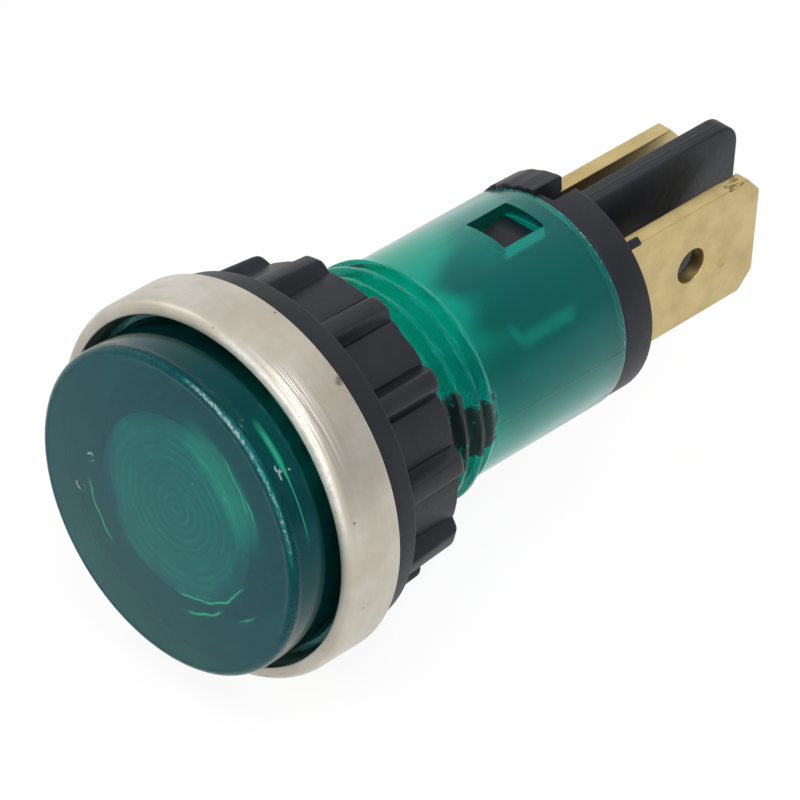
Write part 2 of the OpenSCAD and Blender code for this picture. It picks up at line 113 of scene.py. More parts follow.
class Signal:
    """A number that varies over a surface, used in plain Python expressions."""

    def __init__(self, graph: "Graph", socket: bpy.types.NodeSocket) -> None:
        """Wraps one output socket.

        Args:
            graph: the material's graph that owns the socket.
            socket: the output socket to wrap.
        """
        self.graph = graph
        self.socket = socket

    def apply(self, operation: Maths, *operands: "Signal | float") -> "Signal":
        """Adds one Math node.

        Args:
            operation: the Math node's operation.
            operands: every operand in order, this signal included.

        Returns:
            The node's result.
        """
        inputs = dict(enumerate(operands))
        return self.graph.node("ShaderNodeMath", {"operation": operation.value}, inputs)

    def __add__(self, other: "Signal | float") -> "Signal":
        """Sum of two values."""
        return self.apply(Maths.ADD, self, other)

    __radd__ = __add__

    def __sub__(self, other: "Signal | float") -> "Signal":
        """Difference of two values."""
        return self.apply(Maths.SUBTRACT, self, other)

    def __rsub__(self, other: float) -> "Signal":
        """Difference with the number first."""
        return self.apply(Maths.SUBTRACT, other, self)

    def __mul__(self, other: "Signal | float") -> "Signal":
        """Product of two values."""
        return self.apply(Maths.MULTIPLY, self, other)

    __rmul__ = __mul__

    def __truediv__(self, other: "Signal | float") -> "Signal":
        """Quotient of two values."""
        return self.apply(Maths.DIVIDE, self, other)

    def __abs__(self) -> "Signal":
        """Size of this value without its sign."""
        return self.apply(Maths.ABSOLUTE, self)

    def root(self) -> "Signal":
        """Square root of this value."""
        return self.apply(Maths.SQRT, self)

    def sine(self) -> "Signal":
        """Sine of this value."""
        return self.apply(Maths.SINE, self)

    def part(self) -> "Signal":
        """What this value has beyond a whole number."""
        return self.apply(Maths.FRACT, self)

    def at_least(self, other: "Signal | float") -> "Signal":
        """The larger of two values."""
        return self.apply(Maths.MAXIMUM, self, other)

    def at_most(self, other: "Signal | float") -> "Signal":
        """The smaller of two values."""
        return self.apply(Maths.MINIMUM, self, other)

    def ramp(self, low: float, high: float) -> "Signal":
        """Smooth step from 0 to 1 between two values, or from 1 to 0 where low is above high.

        Args:
            low: the value at which the result is 0.
            high: the value at which the result is 1.

        Returns:
            The smooth step.
        """
        flip = low > high
        settings = {"interpolation_type": "SMOOTHSTEP"}
        inputs = {0: self, 1: min(low, high), 2: max(low, high)}
        step = self.graph.node("ShaderNodeMapRange", settings, inputs)
        return 1.0 - step if flip else step

    def band(self, low: float, high: float, soft: float) -> "Signal":
        """Mask that is 1 between two values, with soft ends.

        Args:
            low: the lower end.
            high: the upper end.
            soft: the width of each soft end.

        Returns:
            The mask.
        """
        return self.ramp(low - soft, low + soft) * self.ramp(high + soft, high - soft)


class Graph:
    """Node graph of a material or world, with the part's place in millimetres at hand."""

    def __init__(self, owner: bpy.types.Material | bpy.types.World) -> None:
        """Empties the owner's graph.

        Args:
            owner: the material or world.
        """
        owner.use_nodes = True
        self.owner = owner
        self.tree = owner.node_tree
        self.tree.nodes.clear()
        self._place: Signal | None = None
        self._round: tuple[Signal, Signal, Signal] | None = None

    @classmethod
    def material(cls, name: str) -> "Graph":
        """Graph of a new material."""
        return cls(bpy.data.materials.new(name))

    def node(self, kind: str, settings: dict[str, Any] | None = None,
             inputs: dict[int | str, Any] | None = None, output: int | str = 0) -> Signal:
        """Adds any node.

        Args:
            kind: the node's type.
            settings: attributes of the node, set first.
            inputs: values or signals for its input sockets.
            output: which output to return.

        Returns:
            The chosen output as a signal.
        """
        made = self.tree.nodes.new(kind)
        for key, value in (settings or {}).items():
            setattr(made, key, value)
        for key, value in (inputs or {}).items():
            if isinstance(value, Signal):
                self.tree.links.new(value.socket, made.inputs[key])
            elif isinstance(value, tuple) and len(value) == 3 and made.inputs[key].type == "RGBA":
                made.inputs[key].default_value = (*value, 1.0)
            else:
                made.inputs[key].default_value = value
        return Signal(self, made.outputs[output]) if made.outputs else Signal(self, None)

    @property
    def place(self) -> Signal:
        """Position on the part, in millimetres, as a vector signal.

        Returns:
            The position.
        """
        if self._place is None:
            coords = self.node("ShaderNodeTexCoord", output="Object")
            self._place = self.node("ShaderNodeVectorMath", {"operation": "SCALE"},
                                    {0: coords, "Scale": 1.0 / MM})
        return self._place

    def axes(self) -> tuple[Signal, Signal, Signal]:
        """The position's three numbers."""
        first = self.node("ShaderNodeSeparateXYZ", {}, {0: self.place})
        return tuple(Signal(self, out) for out in first.socket.node.outputs)

    def vector(self, x: Signal | float, y: Signal | float, z: Signal | float) -> Signal:
        """Joins three numbers into a vector signal."""
        return self.node("ShaderNodeCombineXYZ", {}, {0: x, 1: y, 2: z})

    def round(self) -> tuple[Signal, Signal, Signal]:
        """Place along the lamp's axis, distance from it, and angle about it from +X to +Z.

        Returns:
            The three signals.
        """
        if self._round is None:
            x, y, z = self.axes()
            self._round = y, (x * x + z * z).root(), z.apply(Maths.ARCTAN2, z, x)
        return self._round

    def clouds(self, scale: float, detail: float = 2.0, rough: float = 0.5,
               where: Signal | None = None, seed: float = 0.0) -> Signal:
        """Soft noise from 0 to 1.

        Args:
            scale: cycles per unit of the coordinates.
            detail: octaves of finer noise.
            rough: strength of the finer octaves.
            where: coordinates, or the position in millimetres.
            seed: shifts the pattern.

        Returns:
            The noise value.
        """
        return self.node("ShaderNodeTexNoise", {"noise_dimensions": "4D"},
                         {"Vector": where or self.place, "W": seed, "Scale": scale,
                          "Detail": detail, "Roughness": rough})

    def grain(self, x: Signal, y: Signal, z: Signal, detail: float = 3.0, rough: float = 0.5,
              seed: float = 0.0) -> Signal:
        """Soft noise from 0 to 1, drawn out by coordinates of its own.

        Args:
            x: first coordinate, one cycle a unit.
            y: second coordinate.
            z: third coordinate.
            detail: octaves of finer noise.
            rough: strength of the finer octaves.
            seed: shifts the pattern.

        Returns:
            The noise value.
        """
        return self.clouds(1.0, detail, rough, self.vector(x, y, z), seed)

    def ball(self, x: float, y: float, z: float) -> Signal:
        """Distance from a point, in millimetres."""
        return self.node("ShaderNodeVectorMath", {"operation": "DISTANCE"},
                         {0: self.place, 1: (x, y, z)}, "Value")

    def specks(self, scale: float, outer: float, inner: float) -> Signal:
        """Mask of scattered round specks.

        Args:
            scale: specks per millimetre.
            outer: radius at which a speck ends, as a share of the spacing.
            inner: radius within which it is full.

        Returns:
            1 in the middle of each speck and 0 outside it.
        """
        return self.node("ShaderNodeTexVoronoi", {},
                         {"Vector": self.place, "Scale": scale}).ramp(outer, inner)

    def layers(self, base: Any, *layers: tuple[Signal | float, Any]) -> Signal:
        """Lays colours over each other.

        Args:
            base: the colour underneath.
            layers: share and colour of each layer, from the lowest up.

        Returns:
            The mixed colour.
        """
        for share, colour in layers:
            base = self.node("ShaderNodeMix", {"data_type": "RGBA"},
                             {0: share, 6: base, 7: colour}, 2)
        return base

    def relief(self, *heights: tuple[Signal, float]) -> Signal:
        """Turns heights from 0 to 1 into a normal.

        Args:
            heights: each height signal with its depth in millimetres, from the lowest up.

        Returns:
            The bumped normal.
        """
        normal = None
        for height, depth in heights:
            inputs = {"Strength": 1.0, "Distance": depth * MM, "Height": height}
            if normal is not None:
                inputs["Normal"] = normal
            normal = self.node("ShaderNodeBump", {}, inputs)
        return normal

    def surface(self, inputs: dict[str, Any]) -> bpy.types.Material:
        """Joins a principled shader to the output.

        Args:
            inputs: signals and constants by the shader's input names.

        Returns:
            The finished material.
        """
        self.finish(self.node("ShaderNodeBsdfPrincipled", {}, inputs))
        return self.owner

    def finish(self, shader: Signal, volume: Signal | None = None) -> None:
        """Joins a shader, and a volume where given, to the material's output.

        Args:
            shader: the shader to join.
            volume: the volume to join, if any.
        """
        inputs: dict[int | str, Any] = {"Surface": shader}
        if volume is not None:
            inputs["Volume"] = volume
        self.node("ShaderNodeOutputMaterial", {}, inputs)


def strongest(masks: Sequence[Signal]) -> Signal:
    """The largest of several values."""
    return functools.reduce(Signal.at_least, masks)


# ---------------------------------------------------------------- finishes


@dataclass(frozen=True)
class GreenPolycarbonate:
    """Translucent green moulding with ink and a parting line, its head in painted shade with a
    lighter face, a painted glow in its bore, and painted highlights and a glint on its head.

    Places ending in y lie along the axis, those ending in r are distances from it, and turns
    are angles about it in radians. Areas are (from turn, to turn, from y, to y), lines are
    (from turn, to turn, from r, to r), and nicks are a centre and a radius.
    """

    tint: Colour = (0.03, 0.95, 0.90)
    handled_tint: Colour = (0.02, 0.84, 0.84)
    # Painted shade and light: the head is painted darker than the barrel, and its face is a
    # lighter, bluer copy of the same plastic.
    shaded_head_tint: Colour = (0.015, 0.34, 0.42)
    lit_face_tint: Colour = (0.02, 0.66, 0.92)
    seam_tint: Colour = (0.01, 0.28, 0.22)
    # Colours of the painted glow in the frosted bore and in the plate's middle.
    painted_glow_tint: Colour = (0.03, 0.95, 0.80)
    plate_glow_tint: Colour = (0.01, 0.98, 0.58)
    # Pale colour of the scuffs and of the painted glint on the lens's edge.
    scuff_and_glint_tint: Colour = (0.60, 0.72, 0.72)
    # Colour of the painted highlights: arcs and a lit patch on the face, and a streak on the
    # head's side.
    highlight_tint: Colour = (0.01, 0.46, 0.27)
    ink_tint: Colour = (0.004, 0.008, 0.008)
    depth_tint: Colour = (0.0, 0.88, 0.83)
    sheen_tint: Colour = (0.08, 0.85, 0.92)
    clear: float = 0.96
    refraction: float = 1.5
    density: float = 1800.0
    frost_roughness: float = 0.5
    face_y: float = -5.1
    edge_y: float = -5.13
    plate_y: float = -3.4
    thread_y: float = 9.5
    rim_y: float = 18.08
    edge_r: float = 7.35
    side_r: float = 7.6
    bore_r: float = 4.6
    skin_r: float = 5.2
    seam_turn: float = 0.035
    # Place and turns of the painted highlight streak on the head's side.
    highlight_streak_y: float = -4.12
    highlight_streak_turns: Point2 = (0.34, 0.98)
    # Turns where the painted glint on the lens's edge is strongest.
    glint_turns: Point2 = (0.95, 1.38)
    # Turns and radii of the painted lit patch on the face.
    lit_patch: Point4 = (0.35, 1.25, 4.4, 6.0)
    inked: tuple[Point4, Point4] = ((0.04, 0.50, 6.1, 8.0), (-0.14, 0.32, 7.4, 9.7))
    slit: Point3 = (0.567, 12.8, 16.0)
    slant: float = 0.82
    nicks: tuple[Point4, ...] = (
        (-4.66, -5.25, 0.49, 0.2), (-5.29, -5.25, -1.35, 0.24), (3.56, -5.25, 2.94, 0.05),
        (5.99, -4.15, 5.07, 0.3), (5.7, -4.3, 5.3, 0.2))
    # Painted highlight arcs on the face.
    highlight_arcs: tuple[Point4, ...] = (
        (-2.97, -2.35, 4.76, 4.62), (-1.29, -0.27, 3.80, 4.97), (-1.24, -0.75, 4.66, 4.86),
        (-0.55, -0.44, 5.80, 5.95), (0.43, 0.64, 5.94, 5.93), (0.50, 0.96, 5.62, 6.05))

    def material(self) -> bpy.types.Material:
        """Builds the node material.

        Returns:
            The material.
        """
        g = Graph.material("green_polycarbonate")
        y, radius, _ = g.round()
        face = y.ramp(self.face_y + 0.15, self.face_y)
        edge = y.ramp(-4.7, -4.95) * radius.ramp(self.edge_r, self.edge_r + 0.25)
        inner = radius.ramp(self.bore_r + 0.15, self.bore_r) * (1.0 - face)
        bore = inner * y.ramp(self.plate_y - 0.1, self.plate_y + 0.1)
        # Mask of the head, painted in the darker head tint as painted shade.
        head = y.ramp(0.4, -0.4) * (1.0 - inner)
        handling = g.clouds(0.35, 3.0, 0.55, seed=4.0)
        seam, scuffs = self._seam(g), self._scuffs(g)
        plate, spread = self._plate(g)
        # Outer ring of the plate's inner face, painted in the darker head tint as painted shade;
        # the middle, behind the bore, stays light.
        rim = plate * inner * spread.ramp(3.9, 4.6)
        colour = g.layers(self.tint, (handling * 0.3, self.handled_tint), (head, self.shaded_head_tint),
                          (face, self.lit_face_tint), (rim * 0.85, self.shaded_head_tint),
                          (seam * 0.6, self.seam_tint))
        rough = face * 0.06 + y.ramp(0.0, 1.0) * 0.08 + 0.07
        rough = rough + g.clouds(1.5, 3.0, 0.6) * 0.04 + handling * 0.04
        rough = rough + bore * 0.28 + scuffs * 0.25 + edge * 0.06
        rubbed_sheen = g.clouds(3.2, 2.0, 0.7, seed=8.0) * edge
        normal = g.relief((g.clouds(2.4, seed=2.0), 0.004), (rubbed_sheen, 0.05), (scuffs, 0.006),
                          (seam, 0.012))
        shader = g.node("ShaderNodeBsdfPrincipled", {}, {
            "Base Color": colour, "Roughness": rough, "Normal": normal,
            "Transmission Weight": self.clear, "IOR": self.refraction,
            "Specular Tint": self.sheen_tint})
        absorb = g.node("ShaderNodeVolumeAbsorption", {},
                        {"Color": self.depth_tint, "Density": self.density})
        g.finish(self._marked(g, shader, face), absorb)
        return g.owner

    def _marked(self, g: Graph, shader: Signal, face: Signal) -> Signal:
        """Lays the opaque ink, the pale scuffs, and the painted glow, highlights and glint over
        the moulding's shader.

        Args:
            g: the material's graph.
            shader: the moulding's own shader.
            face: mask of the front face.

        Returns:
            The mixed shader.
        """
        y, radius, angle = g.round()
        # Painted highlights: a lit patch and arcs on the face, and a streak on the head's side.
        start, end, near, far = self.lit_patch
        lit_patch = radius.band(near, far, 0.3) * angle.band(start, end, 0.25) * 0.28
        glow = (self._highlight_arcs(g).at_least(lit_patch) * face).at_least(self._highlight_streak(g))
        # Ink, and the pale marks: scuffs together with a painted glint on the lens's edge.
        ink, worn = self._ink(g), self._scuffs_and_glint(g)
        # Painted glow on the bore and the plate, kept off the face.
        painted_glow = self._painted_glow(g) * (1.0 - face)
        colour = g.layers(self.painted_glow_tint, (y.ramp(0.0, -1.0), self.plate_glow_tint),
                          (worn.ramp(0.0, 0.3), self.scuff_and_glint_tint),
                          (glow.ramp(0.0, 0.4), self.highlight_tint),
                          (ink.ramp(0.0, 0.5), self.ink_tint))
        mark = g.node("ShaderNodeBsdfPrincipled", {},
                      {"Base Color": colour, "Roughness": self.frost_roughness})
        factor = strongest((painted_glow, glow * 0.6, worn, ink))
        return g.node("ShaderNodeMixShader", {}, {0: factor, 1: shader, 2: mark})

    def _plate(self, g: Graph) -> tuple[Signal, Signal]:
        """Mask of the lens's plate, and the distance from the axis with a wavering edge.

        Args:
            g: the material's graph.

        Returns:
            The mask and the distance.
        """
        y, radius, _ = g.round()
        lobes = g.clouds(0.32, seed=31.0)
        return y.ramp(self.plate_y, self.plate_y - 0.15), radius + (lobes - 0.5) * 3.0

    def _painted_glow(self, g: Graph) -> Signal:
        """Share of the painted glow on the bore and on the plate's inner face: a pale frosted
        skin, painted strongest towards the top of the barrel and in the plate's middle, and weak
        in a band of painted shade lower down.

        Args:
            g: the material's graph.

        Returns:
            The share.
        """
        y, radius, angle = g.round()
        wave = (angle * 12.0 + 0.53).sine() * 0.6
        limit = wave + g.clouds(0.32, seed=31.0) * 3.4 + angle.ramp(1.6, 1.95) * 2.5
        # Painted light: the glow grows towards the top, where light falls in.
        level = angle.ramp(0.6, 1.0) * 0.32 + angle.ramp(1.1, 1.4) * 0.2 + 0.3
        # Painted shade: the turns from about 1 to 39 degrees behind the threads keep little glow.
        painted_shade = angle.band(0.02, 0.68, 0.16) * y.ramp(9.0, 9.6) * 0.93
        thread = y.ramp(9.4, 9.0) * (y.band(5.2, 6.5, 0.3) * -0.15 + 0.25)
        front = (y - limit - 9.6).ramp(1.0, -1.0) * y.ramp(1.0, 3.0) * level
        front = front * (1.0 - painted_shade) * (1.0 - thread)
        turns = radius * 2.25 + g.clouds(0.5, seed=33.0) * 0.9
        ring = abs(turns.part() - 0.5).ramp(0.22, 0.46)
        ring = ring * g.clouds(0.7, seed=35.0).ramp(0.35, 0.6) * 0.16
        plate, spread = self._plate(g)
        # Painted glow in the plate's middle, with lighter rings.
        plate = plate * spread.ramp(4.7, 3.9) * (ring + 0.31)
        inside = radius.ramp(self.bore_r + 0.1, self.bore_r)
        return inside * strongest((front, plate, self._slits(g) * 0.3))

    def _slits(self, g: Graph) -> Signal:
        """Mask of the light that comes through the slits of the sleeve inside the barrel.

        Args:
            g: the material's graph.

        Returns:
            The mask.
        """
        y, _, angle = g.round()
        turn, start, end = self.slit
        folded = abs(angle).at_most(math.pi - abs(angle))
        aside = (folded - turn) * 4.5
        straight = abs(aside).ramp(0.5, 0.1) * y.band(start, end, 0.2)
        across = (y - start) * math.sin(self.slant) + aside * math.cos(self.slant)
        return straight.at_least(abs(across).ramp(0.5, 0.1) * y.band(start - 0.6, start, 0.2))

    def _highlight_arcs(self, g: Graph) -> Signal:
        """Mask of the painted highlight arcs on the face, each from one turn and radius to
        another.

        Args:
            g: the material's graph.

        Returns:
            The mask.
        """
        _, radius, angle = g.round()
        wander = (g.clouds(0.9, seed=12.0) - 0.5) * 0.5
        lines = []
        for start, end, near, far in self.highlight_arcs:
            at = near + (angle - start) * ((far - near) / (end - start))
            line = abs(radius - at + wander).ramp(0.085, 0.01)
            lines.append(line * angle.band(start, end, 0.08))
        return strongest(lines)

    def _highlight_streak(self, g: Graph) -> Signal:
        """Mask of the painted highlight streak on the lens's side.

        Args:
            g: the material's graph.

        Returns:
            The mask.
        """
        y, radius, angle = g.round()
        wide = angle.ramp(0.62, 0.80) * 0.17 + 0.05
        line = (abs(y - self.highlight_streak_y) / wide).ramp(1.0, 0.1)
        return line * angle.band(*self.highlight_streak_turns, 0.08) * radius.ramp(7.6, 7.8)

    def _scuffs_and_glint(self, g: Graph) -> Signal:
        """Share of the pale marks: a painted glint along the lens's front edge and on its side,
        strongest in the glint turns, with pale nicks on the face and side and flecks on the
        barrel's rear rim.

        Args:
            g: the material's graph.

        Returns:
            The share.
        """
        y, radius, angle = g.round()
        grit = g.grain(angle * 58.0, y * 11.0, radius * 11.0, rough=0.7, seed=8.0)
        broken = g.clouds(1.1, 3.0, 0.6, seed=16.0)
        # Painted glint: strongest in these turns, along the front edge.
        strong = angle.band(*self.glint_turns, 0.12)
        edge = abs(y - self.edge_y).ramp(0.09, 0.03) * radius.ramp(self.side_r - 0.1, self.side_r)
        edge = edge * angle.band(0.25, 1.45, 0.12)
        edge = edge * ((grit + strong * 0.05).ramp(0.44, 0.70) * (0.4 + strong * 0.2) + 0.07)
        # Painted glint also on the head's side, just behind the front edge.
        side = y.band(-4.95, -4.45, 0.15) * radius.ramp(self.side_r, self.side_r + 0.1) * strong
        side = side * grit.ramp(0.58, 0.66) * broken.ramp(0.42, 0.55) * 0.4
        rear = y.ramp(self.rim_y, self.rim_y + 0.12) * radius.ramp(5.25, 5.35)
        rear = rear * grit.ramp(0.54, 0.62) * broken.ramp(0.40, 0.5) * 0.5
        nicks = strongest([abs(g.ball(*place) - r).ramp(0.07, 0.03) for *place, r in self.nicks])
        nicks = nicks * g.clouds(3.5, seed=21.0).ramp(0.46, 0.54) * 0.4
        return strongest((edge, side, rear, nicks))

    def _ink(self, g: Graph) -> Signal:
        """Mask of the ink smeared across the threads.

        Args:
            g: the material's graph.

        Returns:
            The mask.
        """
        y, radius, angle = g.round()
        ragged = g.clouds(1.6, 4.0, 0.7, seed=9.0) - 0.5
        turn, along = angle + ragged * 0.35, y + ragged * 1.2
        smears = [turn.band(start, end, 0.04) * along.band(near, far, 0.2)
                  for start, end, near, far in self.inked]
        worn = g.clouds(1.9, 2.0, 0.6, seed=3.0).ramp(0.30, 0.38)
        skin = radius.ramp(self.skin_r - 0.2, self.skin_r)
        return (strongest(smears) * worn * skin).at_most(0.93)

    def _seam(self, g: Graph) -> Signal:
        """Mask of the hair-fine parting line along the barrel.

        Args:
            g: the material's graph.

        Returns:
            The mask.
        """
        y, radius, angle = g.round()
        wander = (g.clouds(0.9, seed=6.0) - 0.5) * 0.012
        line = abs(angle + wander - self.seam_turn).ramp(0.012, 0.004)
        broken = g.clouds(1.4, 3.0, 0.6, seed=7.0).ramp(0.3, 0.45)
        skin = radius.ramp(self.skin_r, self.skin_r + 0.1)
        return line * broken * y.ramp(self.thread_y, self.thread_y + 0.3) * skin

    def _scuffs(self, g: Graph) -> Signal:
        """Mask of the small scratches and specks on the moulding.

        Args:
            g: the material's graph.

        Returns:
            The mask.
        """
        x, y, z = g.axes()
        first = g.grain(x * 0.5 + z * 9.0, y * 3.0, z * 0.4, seed=1.0)
        second = g.grain(x * 8.0 - z * 3.0, y * 0.6, x * 0.5, seed=5.0)
        lines = first.ramp(0.80, 0.84).at_least(second.ramp(0.80, 0.84))
        return (lines * 0.7 + g.specks(0.5, 0.04, 0.02)).at_most(1.0)


@dataclass(frozen=True)
class SatinNickel:
    """Nickel plate with fine turning marks and pits, painted highlight streak marks and polish on
    its lit side, and a front rim with a painted highlight in the lit turns and painted shade
    elsewhere.

    The sheen and lit turns are angles about the axis in radians, and dents are a centre and a
    radius.
    """

    light: Colour = (0.60, 0.575, 0.515)
    dark: Colour = (0.44, 0.405, 0.33)
    warm: Colour = (0.52, 0.46, 0.35)
    # Painted highlight colour of the streak marks and polish on the lit side.
    streak_highlight: Colour = (0.80, 0.77, 0.71)
    scratch: Colour = (0.36, 0.33, 0.27)
    # Painted shade and painted highlight of the front rim: dull outside the lit turns, light
    # within them.
    shaded_rim: Colour = (0.40, 0.375, 0.32)
    lit_rim: Colour = (0.90, 0.88, 0.82)
    pit: Colour = (0.20, 0.17, 0.13)
    sheen_turns: Point2 = (0.65, 1.17)
    lit_turns: Point2 = (0.35, 1.45)
    front_y: float = -3.2
    rim_y: float = -2.78
    rim_r: float = 8.4
    dents: tuple[Point4, ...] = (
        (5.45, -2.95, 7.16, 0.16), (5.15, -0.2, 7.5, 0.3), (0.2, -2.9, 8.95, 0.1))

    def material(self) -> bpy.types.Material:
        """Builds the node material.

        Returns:
            The material.
        """
        g = Graph.material("satin_nickel")
        x, y, z = g.axes()
        _, radius, angle = g.round()
        turning = g.grain(radius * 5.0, y * 5.0, (x + z) * 0.3, rough=0.6)
        patina = g.clouds(0.35, 4.0, 0.6, seed=3.0)
        mottled = g.clouds(1.6, 3.0, 0.65, seed=8.0)
        cross = g.grain(x * 1.8, y * 0.35, z * 1.8, 2.0, seed=17.0)
        nicks = g.grain(x * 2.0, y * 0.7, z * 5.0, 2.0, seed=11.0).ramp(0.78, 0.82)
        # Painted highlight: in these turns, on the lit side, the outer face gets polish and light
        # streak marks with darker scored lines between them.
        near = angle.band(*self.sheen_turns, 0.12)
        scored = g.grain(y * 6.5, radius * 6.5, angle * 1.1, 2.0, 0.6, 21.0)
        streak_sheen = scored.ramp(0.48, 0.62) * near * y.band(self.front_y, -1.9, 0.5)
        sheen_band = near * y.band(self.front_y, -2.1, 0.5) * 0.4
        lines = scored.ramp(0.50, 0.40) * near * y.band(self.front_y, -1.7, 0.5)
        rim = y.ramp(self.rim_y, self.rim_y - 0.14) * radius.ramp(self.rim_r, self.rim_r + 0.1)
        # Breakup of the rim's painted highlight.
        rubbed_sheen = g.clouds(2.2, 3.0, 0.7, seed=27.0).ramp(0.4, 0.6) * 0.4 + 0.3
        rubbed_sheen = rubbed_sheen + scored.ramp(0.45, 0.58) * 0.3
        lit = angle.band(*self.lit_turns, 0.25)
        worn = patina.ramp(0.35, 0.65) * 0.55 + (turning - 0.5) * 0.5 + (cross - 0.5) * 0.35
        worn = worn + (mottled - 0.5) * 0.5
        dents = strongest([g.ball(*place).ramp(r, r * 0.4) for *place, r in self.dents])
        pits = g.specks(0.75, 0.075, 0.04) * mottled.ramp(0.47, 0.55)
        pits = pits.at_least(dents * mottled.ramp(0.38, 0.5))
        colour = g.layers(self.light, (worn, self.dark),
                          (g.clouds(0.22, seed=14.0).ramp(0.4, 0.65) * 0.42, self.warm),
                          (sheen_band.at_least(streak_sheen * 0.9), self.streak_highlight),
                          (lines * 0.55, self.scratch), (rim * (1.0 - lit) * 0.35, self.shaded_rim),
                          (rim * lit * rubbed_sheen, self.lit_rim),
                          ((pits + nicks * 0.5).at_most(0.8), self.pit))
        rough = 0.22 + patina * 0.12 + turning * 0.16 - streak_sheen * 0.06 + rim * 0.22
        normal = g.relief((turning, 0.012), (streak_sheen, 0.01), (mottled, 0.012),
                          (1.0 - (pits + nicks).at_most(1.0), 0.015))
        return g.surface({"Base Color": colour, "Metallic": 1.0, "Roughness": rough,
                          "Normal": normal})


class Moulding(Enum):
    """The two black mouldings, by their slot."""

    NUT = "black_nylon"
    CAP = "black_cap_plastic"


@dataclass(frozen=True)
class BlackMoulding:
    """Matte black plastic with fine spark-eroded grain, dust and a parting line on the cap."""

    kind: Moulding
    base: Colour = (0.005, 0.007, 0.0115)
    dust: Colour = (0.05, 0.053, 0.057)
    roughness: float = 0.36
    sheen: float = 0.34
    seam_y: float = 20.4

    def material(self) -> bpy.types.Material:
        """Builds the node material.

        Returns:
            The material.
        """
        g = Graph.material(self.kind.value)
        x, y, z = g.axes()
        fine = g.clouds(4.0, 2.0, 0.6)
        broad = g.clouds(0.6, 3.0, 0.6, seed=2.0)
        hairs = g.grain(x * 7.0 + y * 2.0, y * 0.8, z * 1.2, seed=5.0)
        specks = g.specks(1.7, 0.05, 0.02) * broad.ramp(0.5, 0.6)
        marks = (hairs.ramp(0.76, 0.8) * 0.5 + specks).at_most(1.0)
        layers = [(broad.ramp(0.35, 0.75) * 0.1 + marks * 0.8, self.dust)]
        heights = [(fine, 0.012), (broad, 0.05)]
        if self.kind is Moulding.CAP:
            wander = (broad - 0.5) * 0.12
            seam = abs(x + wander).ramp(0.09, 0.03) * y.ramp(self.seam_y, self.seam_y + 0.2)
            layers.append((seam * 0.35, self.dust))
            heights.append((seam, 0.05))
        return g.surface({"Base Color": g.layers(self.base, *layers),
                          "Roughness": self.roughness + broad * 0.12 + fine * 0.08,
                          "Normal": g.relief(*heights), "Specular IOR Level": self.sheen})


@dataclass(frozen=True)
class StampedBrass:
    """Satin brass strip with faint rolling lines, tarnish and a scraped top edge near its end."""

    light: Colour = (0.62, 0.49, 0.235)
    dark: Colour = (0.42, 0.31, 0.13)
    spot: Colour = (0.16, 0.11, 0.05)
    scrape: Colour = (0.07, 0.05, 0.02)
    scraped_y: Point2 = (27.75, 28.9)
    scraped_z: float = 2.95

    def material(self) -> bpy.types.Material:
        """Builds the node material.

        Returns:
            The material.
        """
        g = Graph.material("brass_strip")
        x, y, z = g.axes()
        rolled = g.grain(x * 9.0, y * 0.8, z * 11.0, 4.0, 0.6)
        tarnish = g.clouds(0.7, 4.0, 0.6, seed=4.0)
        spots = g.specks(1.3, 0.07, 0.03) * tarnish.ramp(0.48, 0.56)
        scraped = y.band(*self.scraped_y, 0.08) * z.ramp(self.scraped_z, self.scraped_z + 0.1)
        scraped = scraped * x.ramp(0.0, 1.0) * g.grain(x * 5.0, y * 1.2, z * 1.5, rough=0.6,
                                                       seed=9.0)
        colour = g.layers(self.light, (tarnish.ramp(0.35, 0.75) * 0.55 + rolled * 0.2, self.dark),
                          (spots * 0.7, self.spot), (scraped.ramp(0.45, 0.56) * 0.7, self.scrape))
        return g.surface({
            "Base Color": colour, "Metallic": 1.0,
            "Roughness": 0.27 + rolled * 0.14 + tarnish * 0.12,
            "Normal": g.relief((rolled, 0.004), (g.clouds(10.0, 3.0, 0.6, seed=1.0), 0.003))})


@dataclass(frozen=True)
class ClearGlass:
    """Thin blown glass of the neon lamp, with faint waviness."""

    tint: Colour = (0.97, 0.98, 0.98)
    refraction: float = 1.48

    def material(self) -> bpy.types.Material:
        """Builds the node material.

        Returns:
            The material.
        """
        g = Graph.material("lamp_glass")
        wavy = g.clouds(0.8)
        return g.surface({"Base Color": self.tint, "Roughness": wavy * 0.03,
                          "Transmission Weight": 1.0, "IOR": self.refraction,
                          "Normal": g.relief((wavy, 0.01))})


@dataclass(frozen=True)
class BareMetal:
    """Plain metal of wires, electrodes and solder."""

    name: str
    colour: Colour
    roughness: float
    tarnished: float = 0.6

    def material(self) -> bpy.types.Material:
        """Builds the node material.

        Returns:
            The material.
        """
        g = Graph.material(self.name)
        dull = g.clouds(3.0, 3.0, 0.6)
        darker = tuple(c * self.tarnished for c in self.colour)
        colour = g.layers(self.colour, (dull.ramp(0.4, 0.7), darker))
        return g.surface({"Base Color": colour, "Metallic": 1.0,
                          "Normal": g.relief((dull, 0.01)),
                          "Roughness": self.roughness + dull * 0.15})


